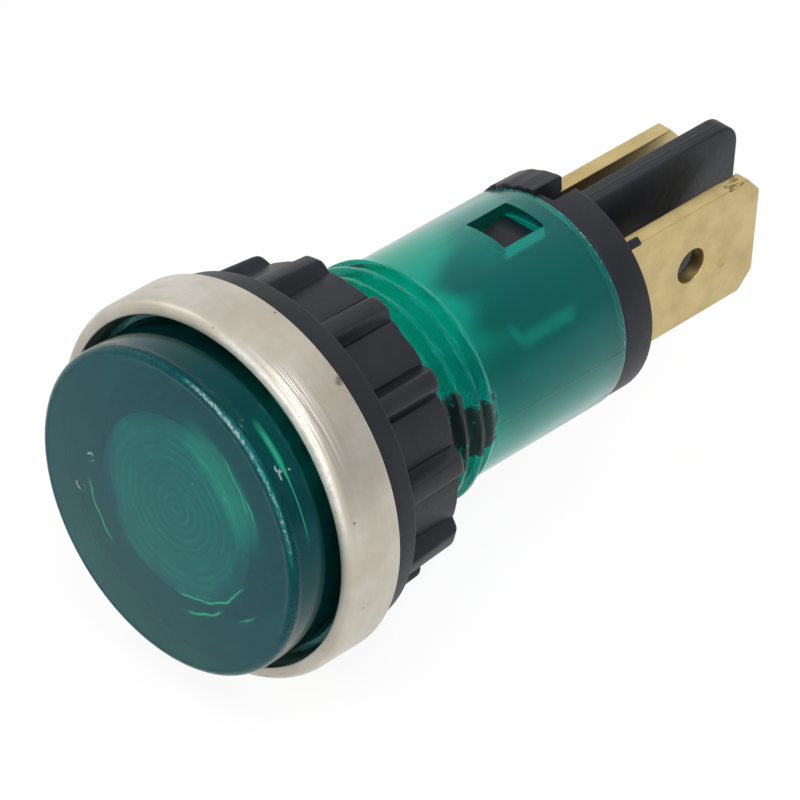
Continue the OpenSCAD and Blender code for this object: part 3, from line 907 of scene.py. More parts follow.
@dataclass(frozen=True)
class BandedLacquer:
    """Tan resistor lacquer with four painted rings, placed along the lamp's axis."""

    start: float
    length: float
    tan: Colour = (0.50, 0.36, 0.18)
    brown: Colour = (0.40, 0.27, 0.12)
    half_band: float = 0.04
    bands: tuple[tuple[float, Colour], ...] = (
        (0.16, (0.25, 0.03, 0.02)), (0.36, (0.30, 0.12, 0.01)),
        (0.56, (0.45, 0.33, 0.02)), (0.84, (0.42, 0.30, 0.10)))

    def material(self) -> bpy.types.Material:
        """Builds the node material.

        Returns:
            The material.
        """
        g = Graph.material("resistor_lacquer")
        along = (g.round()[0] - self.start) / self.length
        uneven = g.clouds(3.0, 3.0, 0.6)
        rings = [(along.band(middle - self.half_band, middle + self.half_band, 0.008), paint)
                 for middle, paint in self.bands]
        return g.surface({"Base Color": g.layers(self.tan, (uneven * 0.3, self.brown), *rings),
                          "Roughness": 0.32 + uneven * 0.15,
                          "Normal": g.relief((uneven, 0.02))})


@dataclass(frozen=True)
class PaleTube:
    """Matte insulating tube."""

    light: Colour = (0.62, 0.60, 0.52)
    dark: Colour = (0.52, 0.50, 0.42)

    def material(self) -> bpy.types.Material:
        """Builds the node material.

        Returns:
            The material.
        """
        g = Graph.material("silicone_tube")
        soft = g.clouds(2.0, 3.0, 0.6)
        return g.surface({"Base Color": g.layers(self.light, (soft, self.dark)),
                          "Roughness": 0.55 + soft * 0.15, "Normal": g.relief((soft, 0.01))})


# ---------------------------------------------------------------- mesh making


def fillet(points: Sequence[Point2], radii: Sequence[float], steps: int = 4) -> list[Point2]:
    """Rounds the corners of an open path.

    Args:
        points: the path's corners.
        radii: the radius at each corner; 0 keeps it sharp.
        steps: segments of each arc.

    Returns:
        The rounded path.
    """
    path: list[Point2] = []
    last = len(points) - 1
    for i, (point, r) in enumerate(zip(points, radii)):
        if r <= 0 or i in (0, last):
            path.append(point)
            continue
        here = Vector(point)
        back = (Vector(points[i - 1]) - here).normalized()
        ahead = (Vector(points[i + 1]) - here).normalized()
        half = back.angle(ahead) / 2
        reach = r / math.tan(half)
        centre = here + (back + ahead).normalized() * (r / math.sin(half))
        a, b = here + back * reach - centre, here + ahead * reach - centre
        turn = math.pi - 2 * half
        for k in range(steps + 1):
            s = k / steps
            spot = (a * math.sin((1 - s) * turn) + b * math.sin(s * turn)) / math.sin(turn)
            path.append(tuple(centre + spot))
    return path


def subdivide(a: Point2, b: Point2, count: int) -> list[Point2]:
    """Points from a up to, and without, b."""
    return [(a[0] + (b[0] - a[0]) * k / count, a[1] + (b[1] - a[1]) * k / count)
            for k in range(count)]


def polar(r: float, y: float, angle: float) -> Vector:
    """Point at a radius, a place along the axis and an angle in radians, in metres."""
    return Vector((r * math.cos(angle), y, r * math.sin(angle))) * MM


@contextmanager
def editing(mesh: bpy.types.Mesh) -> Iterator[bmesh.types.BMesh]:
    """Opens a mesh, and writes it back and closes it after the edit.

    Args:
        mesh: the mesh to edit.

    Yields:
        The open mesh.
    """
    bm = bmesh.new()
    bm.from_mesh(mesh)
    yield bm
    bm.to_mesh(mesh)
    bm.free()


def finish_mesh(mesh: bpy.types.Mesh, crease: float = CREASE) -> None:
    """Closes poles, orients faces and shades a mesh smooth up to a crease angle.

    Args:
        mesh: the mesh to finish.
        crease: angle in degrees above which an edge stays sharp.
    """
    with editing(mesh) as bm:
        bmesh.ops.remove_doubles(bm, verts=bm.verts, dist=WELD)
        bmesh.ops.recalc_face_normals(bm, faces=bm.faces)
    mesh.shade_smooth()
    mesh.set_sharp_from_angle(angle=math.radians(crease))


def add_object(name: str, data: bpy.types.ID) -> bpy.types.Object:
    """Links a new object for a mesh, curve, lamp or camera.

    Args:
        name: the object's name.
        data: its mesh, curve, lamp or camera.

    Returns:
        The object.
    """
    made = bpy.data.objects.new(name, data)
    bpy.context.scene.collection.objects.link(made)
    return made


def evaluated(piece: bpy.types.Object) -> bpy.types.Mesh:
    """New mesh of an object with its modifiers applied."""
    graph = bpy.context.evaluated_depsgraph_get()
    return bpy.data.meshes.new_from_object(piece.evaluated_get(graph))


def lofted(name: str, columns: Sequence[Sequence[Vector]], ring: bool = True,
           loop: bool = False) -> bpy.types.Object:
    """Joins columns of points with quads.

    Args:
        name: the object's name.
        columns: rows of equally many points.
        ring: whether the last column joins the first.
        loop: whether each column closes on itself.

    Returns:
        The object.
    """
    rows = len(columns[0])
    verts = [p for column in columns for p in column]
    faces = []
    for i in range(len(columns) if ring else len(columns) - 1):
        j = (i + 1) % len(columns)
        for k in range(rows if loop else rows - 1):
            n = (k + 1) % rows
            faces.append((i * rows + k, j * rows + k, j * rows + n, i * rows + n))
    mesh = bpy.data.meshes.new(name)
    mesh.from_pydata(verts, [], faces)
    finish_mesh(mesh)
    return add_object(name, mesh)


def capped(name: str, columns: Sequence[Sequence[Vector]]) -> bpy.types.Object:
    """Joins closed columns of points with quads and fills both ends.

    Args:
        name: the object's name.
        columns: columns of equally many points, each a closed loop.

    Returns:
        The object.
    """
    made = lofted(name, columns, ring=False, loop=True)
    with editing(made.data) as bm:
        bmesh.ops.holes_fill(bm, edges=bm.edges)
    return made


def turned(name: str, profile: Sequence[Point2], columns: int, loop: bool = False,
           shift: Callable[[float, float, float], Point2] | None = None) -> bpy.types.Object:
    """Turns a profile of (radius, place along the axis) about the lamp's axis.

    Args:
        name: the object's name.
        profile: the profile's points.
        columns: segments around the axis.
        loop: whether the profile closes on itself.
        shift: gives a point's radius and place from its own and the angle.

    Returns:
        The object.
    """
    built = []
    for i in range(columns):
        angle = 2 * math.pi * i / columns
        moved = [shift(r, y, angle) if shift else (r, y) for r, y in profile]
        built.append([polar(r, y, angle) for r, y in moved])
    return lofted(name, built, loop=loop)


def carve(piece: bpy.types.Object, cutters: Sequence[bpy.types.Object]) -> bpy.types.Object:
    """Cuts other objects out of a piece and deletes them.

    Args:
        piece: the piece to cut.
        cutters: what to cut out of it.

    Returns:
        The piece.
    """
    for cutter in cutters:
        step = piece.modifiers.new("carve", "BOOLEAN")
        step.operation, step.solver, step.object = "DIFFERENCE", "EXACT", cutter
    mesh = evaluated(piece)
    piece.modifiers.clear()
    piece.data = mesh
    finish_mesh(mesh)
    for cutter in cutters:
        bpy.data.objects.remove(cutter)
    return piece


def pressed(name: str, outlines: Sequence[Sequence[Point2]], low: float, high: float,
            edge: float, frame: Matrix) -> bpy.types.Object:
    """Flat piece with rounded edges and holes.

    Args:
        name: the object's name.
        outlines: the outline first, then its holes, in the piece's own plane.
        low: lower face.
        high: upper face.
        edge: radius of the edges.
        frame: places the piece's plane and thickness in the part's frame.

    Returns:
        The object.
    """
    curve = bpy.data.curves.new(name, "CURVE")
    curve.dimensions, curve.fill_mode = "2D", "BOTH"
    curve.extrude = (high - low) / 2 - edge
    curve.bevel_depth, curve.offset, curve.bevel_resolution = edge, -edge, 2
    for outline in outlines:
        spline = curve.splines.new("POLY")
        spline.points.add(len(outline) - 1)
        spline.use_cyclic_u = True
        for point, (u, v) in zip(spline.points, outline):
            point.co = (u, v, 0, 1)
    made = add_object(name, curve)
    mesh = evaluated(made)
    bpy.data.objects.remove(made)
    mesh.transform(Matrix.Scale(MM, 4) @ frame @ Matrix.Translation((0, 0, (low + high) / 2)))
    finish_mesh(mesh, FLAT_CREASE)
    return add_object(name, mesh)


def round_edges(bm: bmesh.types.BMesh, edges: Sequence[bmesh.types.BMEdge],
                radius: float) -> None:
    """Rounds edges of an open mesh.

    Args:
        bm: the open mesh.
        edges: the edges to round.
        radius: the radius, in the mesh's own unit.
    """
    bmesh.ops.bevel(bm, geom=edges, offset=radius, segments=3, affect="EDGES", profile=0.5)


def block(name: str, low: Sequence[float], high: Sequence[float], frame: Matrix,
          flare: float = 0.0, bevel: float = 0.0) -> bpy.types.Object:
    """Box between two corners, with an optional flare of its far X end and rounded edges.

    Args:
        name: the object's name.
        low: lowest corner.
        high: highest corner.
        frame: turns and places the box.
        flare: how much wider the high X end is on each side.
        bevel: radius of its edges.

    Returns:
        The object.
    """
    mesh = bpy.data.meshes.new(name)
    with editing(mesh) as bm:
        bmesh.ops.create_cube(bm, size=1.0)
        for vert in bm.verts:
            spread = flare if vert.co.x > 0 else 0.0
            vert.co = Vector([
                low[i] + (high[i] - low[i]) * (vert.co[i] + 0.5)
                + (math.copysign(spread, vert.co[i]) if i else 0.0) for i in range(3)])
        if bevel:
            round_edges(bm, bm.edges, bevel)
        bm.transform(Matrix.Scale(MM, 4) @ frame)
    finish_mesh(mesh)
    return add_object(name, mesh)


def about_axis(degrees: float) -> Matrix:
    """Turn about the lamp's axis, from +X towards +Z."""
    return Matrix.Rotation(-math.radians(degrees), 4, "Y")


def merged(name: str, pieces: Sequence[bpy.types.Object]) -> bpy.types.Object:
    """Joins objects into one without cutting them.

    Args:
        name: the object's name.
        pieces: the objects to join, which are then deleted.

    Returns:
        The object.
    """
    mesh = bpy.data.meshes.new(name)
    with editing(mesh) as bm:
        for piece in pieces:
            bm.from_mesh(piece.data)
    for piece in pieces:
        bpy.data.objects.remove(piece)
    finish_mesh(mesh)
    return add_object(name, mesh)


def eased(value: float) -> float:
    """Smooth step of a value, held between 0 and 1."""
    share = min(max(value, 0.0), 1.0)
    return share * share * (3 - 2 * share)


def dress(piece: bpy.types.Object, material: bpy.types.Material) -> None:
    """Gives a piece one material in every slot.

    Args:
        piece: the object to dress.
        material: its only material.
    """
    if not piece.data.materials:
        piece.data.materials.append(material)
    for slot in piece.material_slots:
        slot.material = material


def register(piece: bpy.types.Object, body: Body, slot: str, *nodes: str) -> None:
    """Ties a piece to its body and hides the solids that it stands for.

    Args:
        piece: the new piece.
        body: the body that it moves with.
        slot: the record's material slot, which is not used.
        nodes: the CAD nodes that it replaces.
    """
    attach(piece, body.value)
    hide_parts(*nodes)
    LOG.info("%s: %d faces on %s", piece.name, len(piece.data.polygons), body.value)


# ---------------------------------------------------------------- sub-assemblies


@dataclass
class LensBody:
    """Green moulding: lens head, foot, threaded barrel and two snap windows."""

    lens_front: float = -5.25
    plate_back: float = -3.75
    lens_r: float = 7.85
    lens_edge: float = 0.4
    foot_r: float = 8.25
    foot_front: float = -1.92
    foot_back: float = -0.82
    crest_r: float = 5.9
    root_r: float = 5.35
    pitch: float = 1.0
    thread_start: float = 0.1
    thread_end: float = 9.35
    barrel_r: float = 5.5
    bore_r: float = 4.5
    barrel_end: float = 18.35
    crest: Point2 = (0.14, 0.62)
    runout: float = 0.35
    rows_per_mm: int = 14
    window: Point3 = (14.4, 17.0, 1.2)
    window_edge: float = 0.08
    ring_pitch: float = 0.45
    ring_depth: float = 0.06
    ring_shape: tuple[Point2, ...] = (
        (0.0, 0.0), (0.3, 0.25), (0.6, 0.7), (0.8, 1.0), (0.9, 0.8))
    columns: int = 216
    finish: GreenPolycarbonate = field(default_factory=GreenPolycarbonate)

    def thread_radius(self, r: float, y: float, angle: float) -> Point2:
        """Radius of the outer surface of the thread at a place and angle.

        Args:
            r: the plain radius; only the crest radius carries the thread.
            y: place along the axis.
            angle: angle about the axis in radians.

        Returns:
            The new radius and the same place.
        """
        if abs(r - self.crest_r) > 1e-6 or y < self.thread_start:
            return r, y
        phase = (y / self.pitch + angle / (2 * math.pi)) % 1.0
        flat, flank = self.crest
        slope = eased((abs(phase - 0.5) * 2 - flat) / flank)
        cut = self.crest_r + (self.root_r - self.crest_r) * slope
        fade = eased((self.thread_end + self.runout - y) / (2 * self.runout))
        return self.barrel_r + (cut - self.barrel_r) * fade, y

    def outer(self) -> list[Point2]:
        """Profile from the middle of the face, over the head and the thread, to the rear rim.

        Returns:
            The profile's points.
        """
        head = fillet(
            [(0.0, self.lens_front), (self.lens_r, self.lens_front),
             (self.lens_r, self.foot_front), (self.foot_r, self.foot_front),
             (self.foot_r, self.foot_back), (self.crest_r, self.foot_back),
             (self.crest_r, self.thread_start)],
            [0, self.lens_edge, 0.1, 0.12, 0.08, 0.05, 0], 6)
        step = 1 / self.rows_per_mm
        rows = int((self.thread_end + 0.4 - self.thread_start) * self.rows_per_mm)
        spin = [(self.crest_r, self.thread_start + k * step) for k in range(1, rows)]
        tail = fillet([(self.barrel_r, spin[-1][1] + 0.07), (self.barrel_r, self.barrel_end),
                       (self.bore_r, self.barrel_end), (self.bore_r, self.plate_back)],
                      [0, 0.12, 0.08, 0.12], 3)
        return head + spin + tail[:-1]

    def rings(self) -> list[Point2]:
        """Profile of the plate's inner face with its concentric moulded rings.

        Returns:
            The profile's points.
        """
        path: list[Point2] = [(self.bore_r, self.plate_back)]
        count = int((self.bore_r - 0.3) / self.ring_pitch)
        for k in range(count, 0, -1):
            r = k * self.ring_pitch
            tall = self.ring_depth * (1.0 if k % 2 else 0.6)
            for part, share in self.ring_shape:
                path.append((r - part * self.ring_pitch, self.plate_back + tall * share))
        path.append((0.0, self.plate_back))
        return path

    def build(self) -> None:
        """Builds, dresses and registers the moulding."""
        profile = self.outer() + self.rings()
        piece = turned("lens_moulding", profile, self.columns, shift=self.thread_radius)
        start, end, half = self.window
        cutters = [block("window", (0, start, -half), (2 * self.barrel_r, end, half),
                         about_axis(turn), bevel=self.window_edge) for turn in (90, 270)]
        carve(piece, cutters)
        dress(piece, self.finish.material())
        register(piece, Body.LAMP, "green_polycarbonate", "lens_body")


@dataclass
class BezelRing:
    """Plated cup around the lens."""

    outer_r: float = 9.1
    inner_r: float = 8.37
    bore_r: float = 5.96
    front: float = -3.0
    floor: float = -0.8
    lip: Point2 = (0.11, 0.55)
    columns: int = 256
    finish: SatinNickel = field(default_factory=SatinNickel)

    def build(self) -> None:
        """Builds, dresses and registers the ring."""
        o, i, b = self.outer_r, self.inner_r, self.bore_r
        corners = [(b, self.floor), (i, self.floor), (i, self.front), (o, self.front),
                   (o, 0.0), (b, 0.0), (b, self.floor)]
        profile = fillet(corners, [0, 0.1, *self.lip, 0.14, 0.08, 0], 8)[:-1]
        piece = turned("bezel_cup", profile, self.columns, loop=True)
        dress(piece, self.finish.material())
        register(piece, Body.LAMP, "satin_nickel", "bezel_ring")


@dataclass
class PanelNut:
    """Flanged nut with twelve grip ribs."""

    front: float = 0.02
    rear: float = 5.37
    flange_r: float = 8.6
    flange_t: float = 1.45
    body_r: float = 7.4
    bore_r: float = 5.95
    rib_count: int = 12
    rib_turn: float = 12.5
    rib_r: float = 8.25
    rib_far_r: float = 7.95
    half_crest: float = 0.36
    half_foot: float = 0.70
    crown: float = 0.06
    groove: float = 0.13
    groove_w: float = 0.06
    grip_r: float = 7.6
    body_edge: float = 0.10
    rib_edge: float = 0.45
    mouth: Point2 = (0.3, 0.35)
    flash: float = 0.07
    flash_l: float = 0.6
    rib_steps: Sequence[float] = (
        0.15, 0.28, 0.36, 0.42, 0.48, 0.54, 0.60, 0.66, 0.70, 0.74, 0.78, 0.84, 0.92)
    gap_steps: Sequence[float] = (1.2, 1.6, 2.0, 2.4, 2.75)
    finish: BlackMoulding = field(default_factory=lambda: BlackMoulding(Moulding.NUT))

    def path(self, near: float, far: float, end: float) -> list[Point2]:
        """Closed profile of the nut with the given radius behind its flange.

        Args:
            near: radius next to the flange.
            far: radius at the rear end.
            end: radius of the rear edge.

        Returns:
            The profile's points.
        """
        back = self.front + self.flange_t
        front_mouth, rear_mouth = self.mouth
        corners = [(self.bore_r, self.front + front_mouth),
                   (self.bore_r + front_mouth, self.front), (self.flange_r, self.front),
                   (self.flange_r, back), (near, back + 0.02),
                   (far, self.rear), (self.bore_r + rear_mouth, self.rear),
                   (self.bore_r, self.rear - rear_mouth)]
        base = fillet(corners, [0, 0.05, 0.1, 0.12, 0.05, end, 0.05, 0], 4)
        return base + subdivide(corners[-1], corners[0], 6)[1:]

    def lift(self, offset: float) -> float:
        """Height of a rib across its width: 0 on the body, 1 on its crest, less in its foot.

        Args:
            offset: distance from the rib's middle, across it.

        Returns:
            The height.
        """
        away = abs(offset)
        rise = eased((self.half_foot - away) / (self.half_foot - self.half_crest))
        crown = self.crown * min(away / self.half_crest, 1.0) ** 2
        groove = self.groove * math.exp(-((away - self.half_foot - 0.05) / self.groove_w) ** 2)
        return rise * (1 - crown) - groove

    def column(self, angle: float, share: float, body: Sequence[Point2],
               rib: Sequence[Point2]) -> list[Vector]:
        """One column of the nut's points, with flash on its rear edge.

        Args:
            angle: angle about the axis in radians.
            share: height of the rib at that angle.
            body: profile between two ribs.
            rib: profile over a rib's crest.

        Returns:
            The column.
        """
        wave = self.flash * noise.noise(Vector((math.cos(angle) * 9, math.sin(angle) * 9, 3.0)))
        points = []
        for (r0, y0), (r1, y1) in zip(body, rib):
            r, y = r0 + (r1 - r0) * share, y0 + (y1 - y0) * share
            if y > self.rear - self.flash_l and r > self.body_r - 0.8:
                r, y = r + wave, y + min(0.0, wave)
            points.append(polar(r, y, angle))
        return points

    def build(self) -> None:
        """Builds, dresses and registers the nut."""
        body = self.path(self.body_r, self.body_r, self.body_edge)
        rib = self.path(self.rib_r, self.rib_far_r, self.rib_edge)
        across = [-v for v in reversed(self.rib_steps)] + [0.0, *self.rib_steps, *self.gap_steps]
        columns = []
        for i in range(self.rib_count):
            middle = math.radians(self.rib_turn + i * 360 / self.rib_count)
            columns += [self.column(middle + offset / self.grip_r, self.lift(offset), body, rib)
                        for offset in across]
        piece = lofted("grip_nut", columns, loop=True)
        dress(piece, self.finish.material())
        register(piece, Body.NUT, "black_nylon", "panel_nut")


@dataclass
class RearCap:
    """Black cap with its sleeve, snap hooks, lug, stubs and the barrier between the tabs."""

    front: float = 18.37
    back: float = 20.22
    cap_r: float = 5.425
    sleeve_front: float = 12.42
    sleeve_r: float = 4.45
    sleeve_in_r: float = 3.6
    joined: float = 0.2
    slit_angle: float = 29.0
    slit_w: float = 0.4
    slit_reach: Point2 = (2.5, 6.0)
    slit: Point3 = (14.07, 17.02, 47.0)
    lug_rise: float = 0.25
    lug_turn: Point3 = (97.5, 124.5, 137.5)
    lug_steps: int = 60
    lug_flash: float = 0.09
    lug_spill: float = 0.25
    notch_turn: float = 93.0
    notch_span: float = 9.0
    notch_depth: float = 1.3
    stub_turn: float = 48.0
    stub: Point3 = (5.0, 0.8, 0.35)
    stub_inset: float = 0.15
    barrier: Point3 = (0.55, 4.35, 31.12)
    corner_r: float = 1.2
    tab_slot: Point2 = (2.18, 3.02)
    tab_slot_half: float = 3.17
    tab_slot_depth: float = 1.32
    hook: tuple[Point2, ...] = (
        (14.65, 4.0), (14.65, 4.45), (15.98, 4.8), (16.98, 4.8), (16.98, 4.0))
    hook_half: float = 1.1
    finish: BlackMoulding = field(default_factory=lambda: BlackMoulding(Moulding.CAP))

    def flange(self) -> bpy.types.Object:
        """Disc behind the barrel, with its notches and the slots for the tabs.

        Returns:
            The disc.
        """
        profile = fillet([(0, self.front), (self.cap_r, self.front), (self.cap_r, self.back),
                          (0, self.back)], [0, 0.1, 0.16, 0], 4)
        disc = turned("cap_flange", profile, 160)
        half = self.cap_r * math.radians(self.notch_span) / 2
        cutters = [block("notch", (self.cap_r - self.notch_depth, self.front + 0.35, -half),
                         (self.cap_r + 1, self.back + 0.5, half), about_axis(turn), 0.1, 0.12)
                   for turn in (self.notch_turn, self.notch_turn + 180)]
        for side in (-1, 1):
            low, high = sorted(side * x for x in self.tab_slot)
            cutters.append(block("slot", (low, self.back - self.tab_slot_depth,
                                          -self.tab_slot_half),
                                 (high, self.back + 1, self.tab_slot_half), Matrix()))
        return carve(disc, cutters)

    def sleeve(self) -> bpy.types.Object:
        """Slit sleeve inside the barrel.

        Returns:
            The sleeve.
        """
        end = self.front + self.joined
        profile = fillet([(self.sleeve_in_r, end), (self.sleeve_in_r, self.sleeve_front),
                          (self.sleeve_r, self.sleeve_front), (self.sleeve_r, end)],
                         [0, 0.15, 0.15, 0], 3)
        tube = turned("cap_sleeve", profile, 144, loop=True)
        half = self.slit_w / 2
        near, far = self.slit_reach
        start, end, slant = self.slit
        cutters = []
        for middle in (0, 180):
            for side in (-1, 1):
                place = about_axis(middle + side * self.slit_angle)
                cutters.append(block("slit", (near, start, -half), (far, end, half), place))
                turn = Matrix.Rotation(-side * math.radians(slant), 4, "X")
                place = place @ Matrix.Translation((0, start, 0)) @ turn
                cutters.append(block("slant", (near, -6, -half), (far, 0.1, half), place))
        return carve(tube, cutters)

    def lug(self) -> bpy.types.Object:
        """Lug on the rim, steep at one end and running out at the other, with rough flash.

        Returns:
            The lug.
        """
        start, full, end = self.lug_turn
        low, high = self.front + 0.06, self.back - 0.02
        ends = fillet([(self.cap_r - 0.5, low), (self.cap_r, low), (self.cap_r, high),
                       (self.cap_r - 0.5, high)], [0, 0.05, 0.12, 0], 3)
        columns = []
        for k in range(self.lug_steps + 1):
            degrees = start + (end - start) * k / self.lug_steps
            share = min(max((end - degrees) / (end - full), 0.0), 1.0)
            ragged = noise.noise(Vector((degrees * 0.22, 7.0, 2.0)))
            spill = min(0.0, ragged - 0.1) * self.lug_spill
            column = []
            for r, y in ends:
                rough = noise.noise(Vector((degrees * 0.14, y * 1.5, 1.0)))
                lift = (self.lug_rise + self.lug_flash * rough) * share
                column.append(polar(r + (lift if r > self.cap_r - 0.3 else 0.0),
                                    y + (spill if y < low + 0.2 else 0.0),
                                    math.radians(degrees)))
            columns.append(column)
        made = capped("lug", columns)
        with editing(made.data) as bm:
            bmesh.ops.triangulate(bm, faces=[f for f in bm.faces if len(f.verts) > 4])
        finish_mesh(made.data)
        return made

    def stub_block(self, middle: float) -> bpy.types.Object:
        """Raised stub on the cap's rim.

        Args:
            middle: angle of its middle in degrees.

        Returns:
            The stub.
        """
        span, height, thick = self.stub
        outer = self.cap_r - self.stub_inset
        corners = [(outer - thick, self.back - 0.4), (outer, self.back - 0.4),
                   (outer, self.back + height), (outer - thick, self.back + height)]
        steps = max(3, round(span / 3))
        turns = [math.radians(middle - span / 2 + span * k / steps) for k in range(steps + 1)]
        made = capped("stub", [[polar(r, y, turn) for r, y in corners] for turn in turns])
        with editing(made.data) as bm:
            bmesh.ops.recalc_face_normals(bm, faces=bm.faces)
            sharp = [e for e in bm.edges if e.is_manifold and e.calc_face_angle() > 0.8]
            round_edges(bm, sharp, 0.1 * MM)
        finish_mesh(made.data)
        return made

    def wall(self) -> bpy.types.Object:
        """Barrier between the tabs, with rounded corners.

        Returns:
            The barrier.
        """
        half, reach, end = self.barrier
        start = self.back - 0.3
        outline = fillet([(start, -reach), (end, -reach), (end, reach), (start, reach)],
                         [0, self.corner_r, self.corner_r, 0], 10)
        frame = Matrix(((0, 0, 1, 0), (1, 0, 0, 0), (0, 1, 0, 0), (0, 0, 0, 1)))
        return pressed("barrier", [outline], -half, half, 0.12, frame)

    def hooks(self) -> list[bpy.types.Object]:
        """The two snap hooks that show in the barrel's windows.

        Returns:
            The hooks.
        """
        flat = Matrix(((0, 1, 0, 0), (1, 0, 0, 0), (0, 0, -1, 0), (0, 0, 0, 1)))
        outline = fillet(self.hook, [0, 0.1, 0.12, 0.08, 0], 3)
        return [pressed("hook", [outline], -self.hook_half, self.hook_half, 0.06,
                        about_axis(turn) @ flat) for turn in (90, 270)]

    def build(self) -> None:
        """Builds, dresses and registers the cap."""
        stubs = [self.stub_block(turn) for turn in (self.stub_turn, self.stub_turn + 180)]
        piece = merged("cap_moulding", [self.flange(), self.sleeve(), self.lug(), self.wall(),
                                        *self.hooks(), *stubs])
        dress(piece, self.finish.material())
        register(piece, Body.LAMP, "black_cap_plastic", "rear_cap")


@dataclass
class BladeTabs:
    """The two stamped brass blades."""

    inner_x: float = 2.2
    outer_x: float = 3.0
    half_w: float = 3.15
    half_tail: float = 1.2
    tail_end: float = 14.92
    shoulder: float = 18.92
    end: float = 30.02
    uneven: float = 0.4
    chamfer: Point2 = (0.85, 0.9)
    hole: Point2 = (25.52, 0.9)
    hole_sides: int = 48
    dimple: Point3 = (0.35, 2.2, -0.85)
    dimple_r: float = 0.45
    edge: float = 0.07
    finish: StampedBrass = field(default_factory=StampedBrass)

    def outline(self) -> list[Point2]:
        """Outline of the blade in the plane of the axis and the vertical.

        Returns:
            The outline's corners.
        """
        w, t, (cy, cz) = self.half_w, self.half_tail, self.chamfer
        corners = [(self.tail_end, -t), (self.shoulder, -t), (self.shoulder, -w),
                   (self.end - cy, -w), (self.end, -w + cz), (self.end, w - cz),
                   (self.end - cy, w), (self.shoulder, w), (self.shoulder, t),
                   (self.tail_end, t)]
        return fillet(corners, [0, 0, 0.1, 0.25, 0.2, 0.2, 0.25, 0.1, 0, 0], 4)

    def blade(self, name: str, side: int) -> bpy.types.Object:
        """One blade on the side given by -1 or 1, with its latch hole and dimple.

        Args:
            name: the object's name.
            side: -1 for the left one and 1 for the right one.

        Returns:
            The blade.
        """
        y, r = self.hole
        turns = [2 * math.pi * k / self.hole_sides for k in range(self.hole_sides)]
        hole = [(y + r * math.cos(turn), r * math.sin(turn)) for turn in turns]
        out = self.uneven if side < 0 else 0.0
        frame = Matrix(((0, 0, side, 0), (1, 0, 0, out), (0, 1, 0, 0), (0, 0, 0, 1)))
        piece = pressed(name, [self.outline(), hole], self.inner_x, self.outer_x, self.edge, frame)
        mesh = bpy.data.meshes.new("dimple")
        away, behind, z = self.dimple
        spot = Vector((side * (self.outer_x + away), y + out + behind, z)) * MM
        with editing(mesh) as bm:
            bmesh.ops.create_icosphere(bm, subdivisions=4, radius=self.dimple_r * MM)
            bm.transform(Matrix.Translation(spot))
        return carve(piece, [add_object("dimple", mesh)])

    def build(self) -> None:
        """Builds, dresses and registers both blades."""
        brass = self.finish.material()
        for node, side in (("tab_left", -1), ("tab_right", 1)):
            piece = self.blade(node.replace("tab", "blade"), side)
            dress(piece, brass)
            register(piece, Body.LAMP, "brass_strip", node)


@dataclass
class InnerLamp:
    """Neon lamp, resistor, leads, tube and solder, which keep their CAD shapes."""

    wires: Sequence[str] = ("lamp_lead_left", "lamp_lead_right", "resistor_lead_front",
                            "resistor_lead_rear")
    electrodes: Sequence[str] = ("electrode_left", "electrode_right")
    joints: Sequence[str] = ("solder_left", "solder_right", "solder_splice")
    wire: BareMetal = BareMetal("tinned_wire", (0.62, 0.61, 0.58), 0.3)
    nickel: BareMetal = BareMetal("electrode_nickel", (0.40, 0.38, 0.35), 0.4)
    solder: BareMetal = BareMetal("solder", (0.60, 0.60, 0.61), 0.22)

    def dress_nodes(self, nodes: dict[str, bpy.types.Object]) -> None:
        """Gives each inner solid its finish.

        Args:
            nodes: the frame's CAD nodes by name.
        """
        low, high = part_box("resistor_body")
        lacquer = BandedLacquer(low[1] / MM, (high[1] - low[1]) / MM)
        plan = {"lamp_glass": ClearGlass().material(), "resistor_body": lacquer.material(),
                "insulating_tube": PaleTube().material()}
        for names, metal in ((self.wires, self.wire), (self.electrodes, self.nickel),
                             (self.joints, self.solder)):
            plan |= dict.fromkeys(names, metal.material())
        for name, material in plan.items():
            dress(nodes[name], material)
            nodes[name].data.shade_smooth()
            LOG.info("%s dressed", name)


# ---------------------------------------------------------------- studio and camera


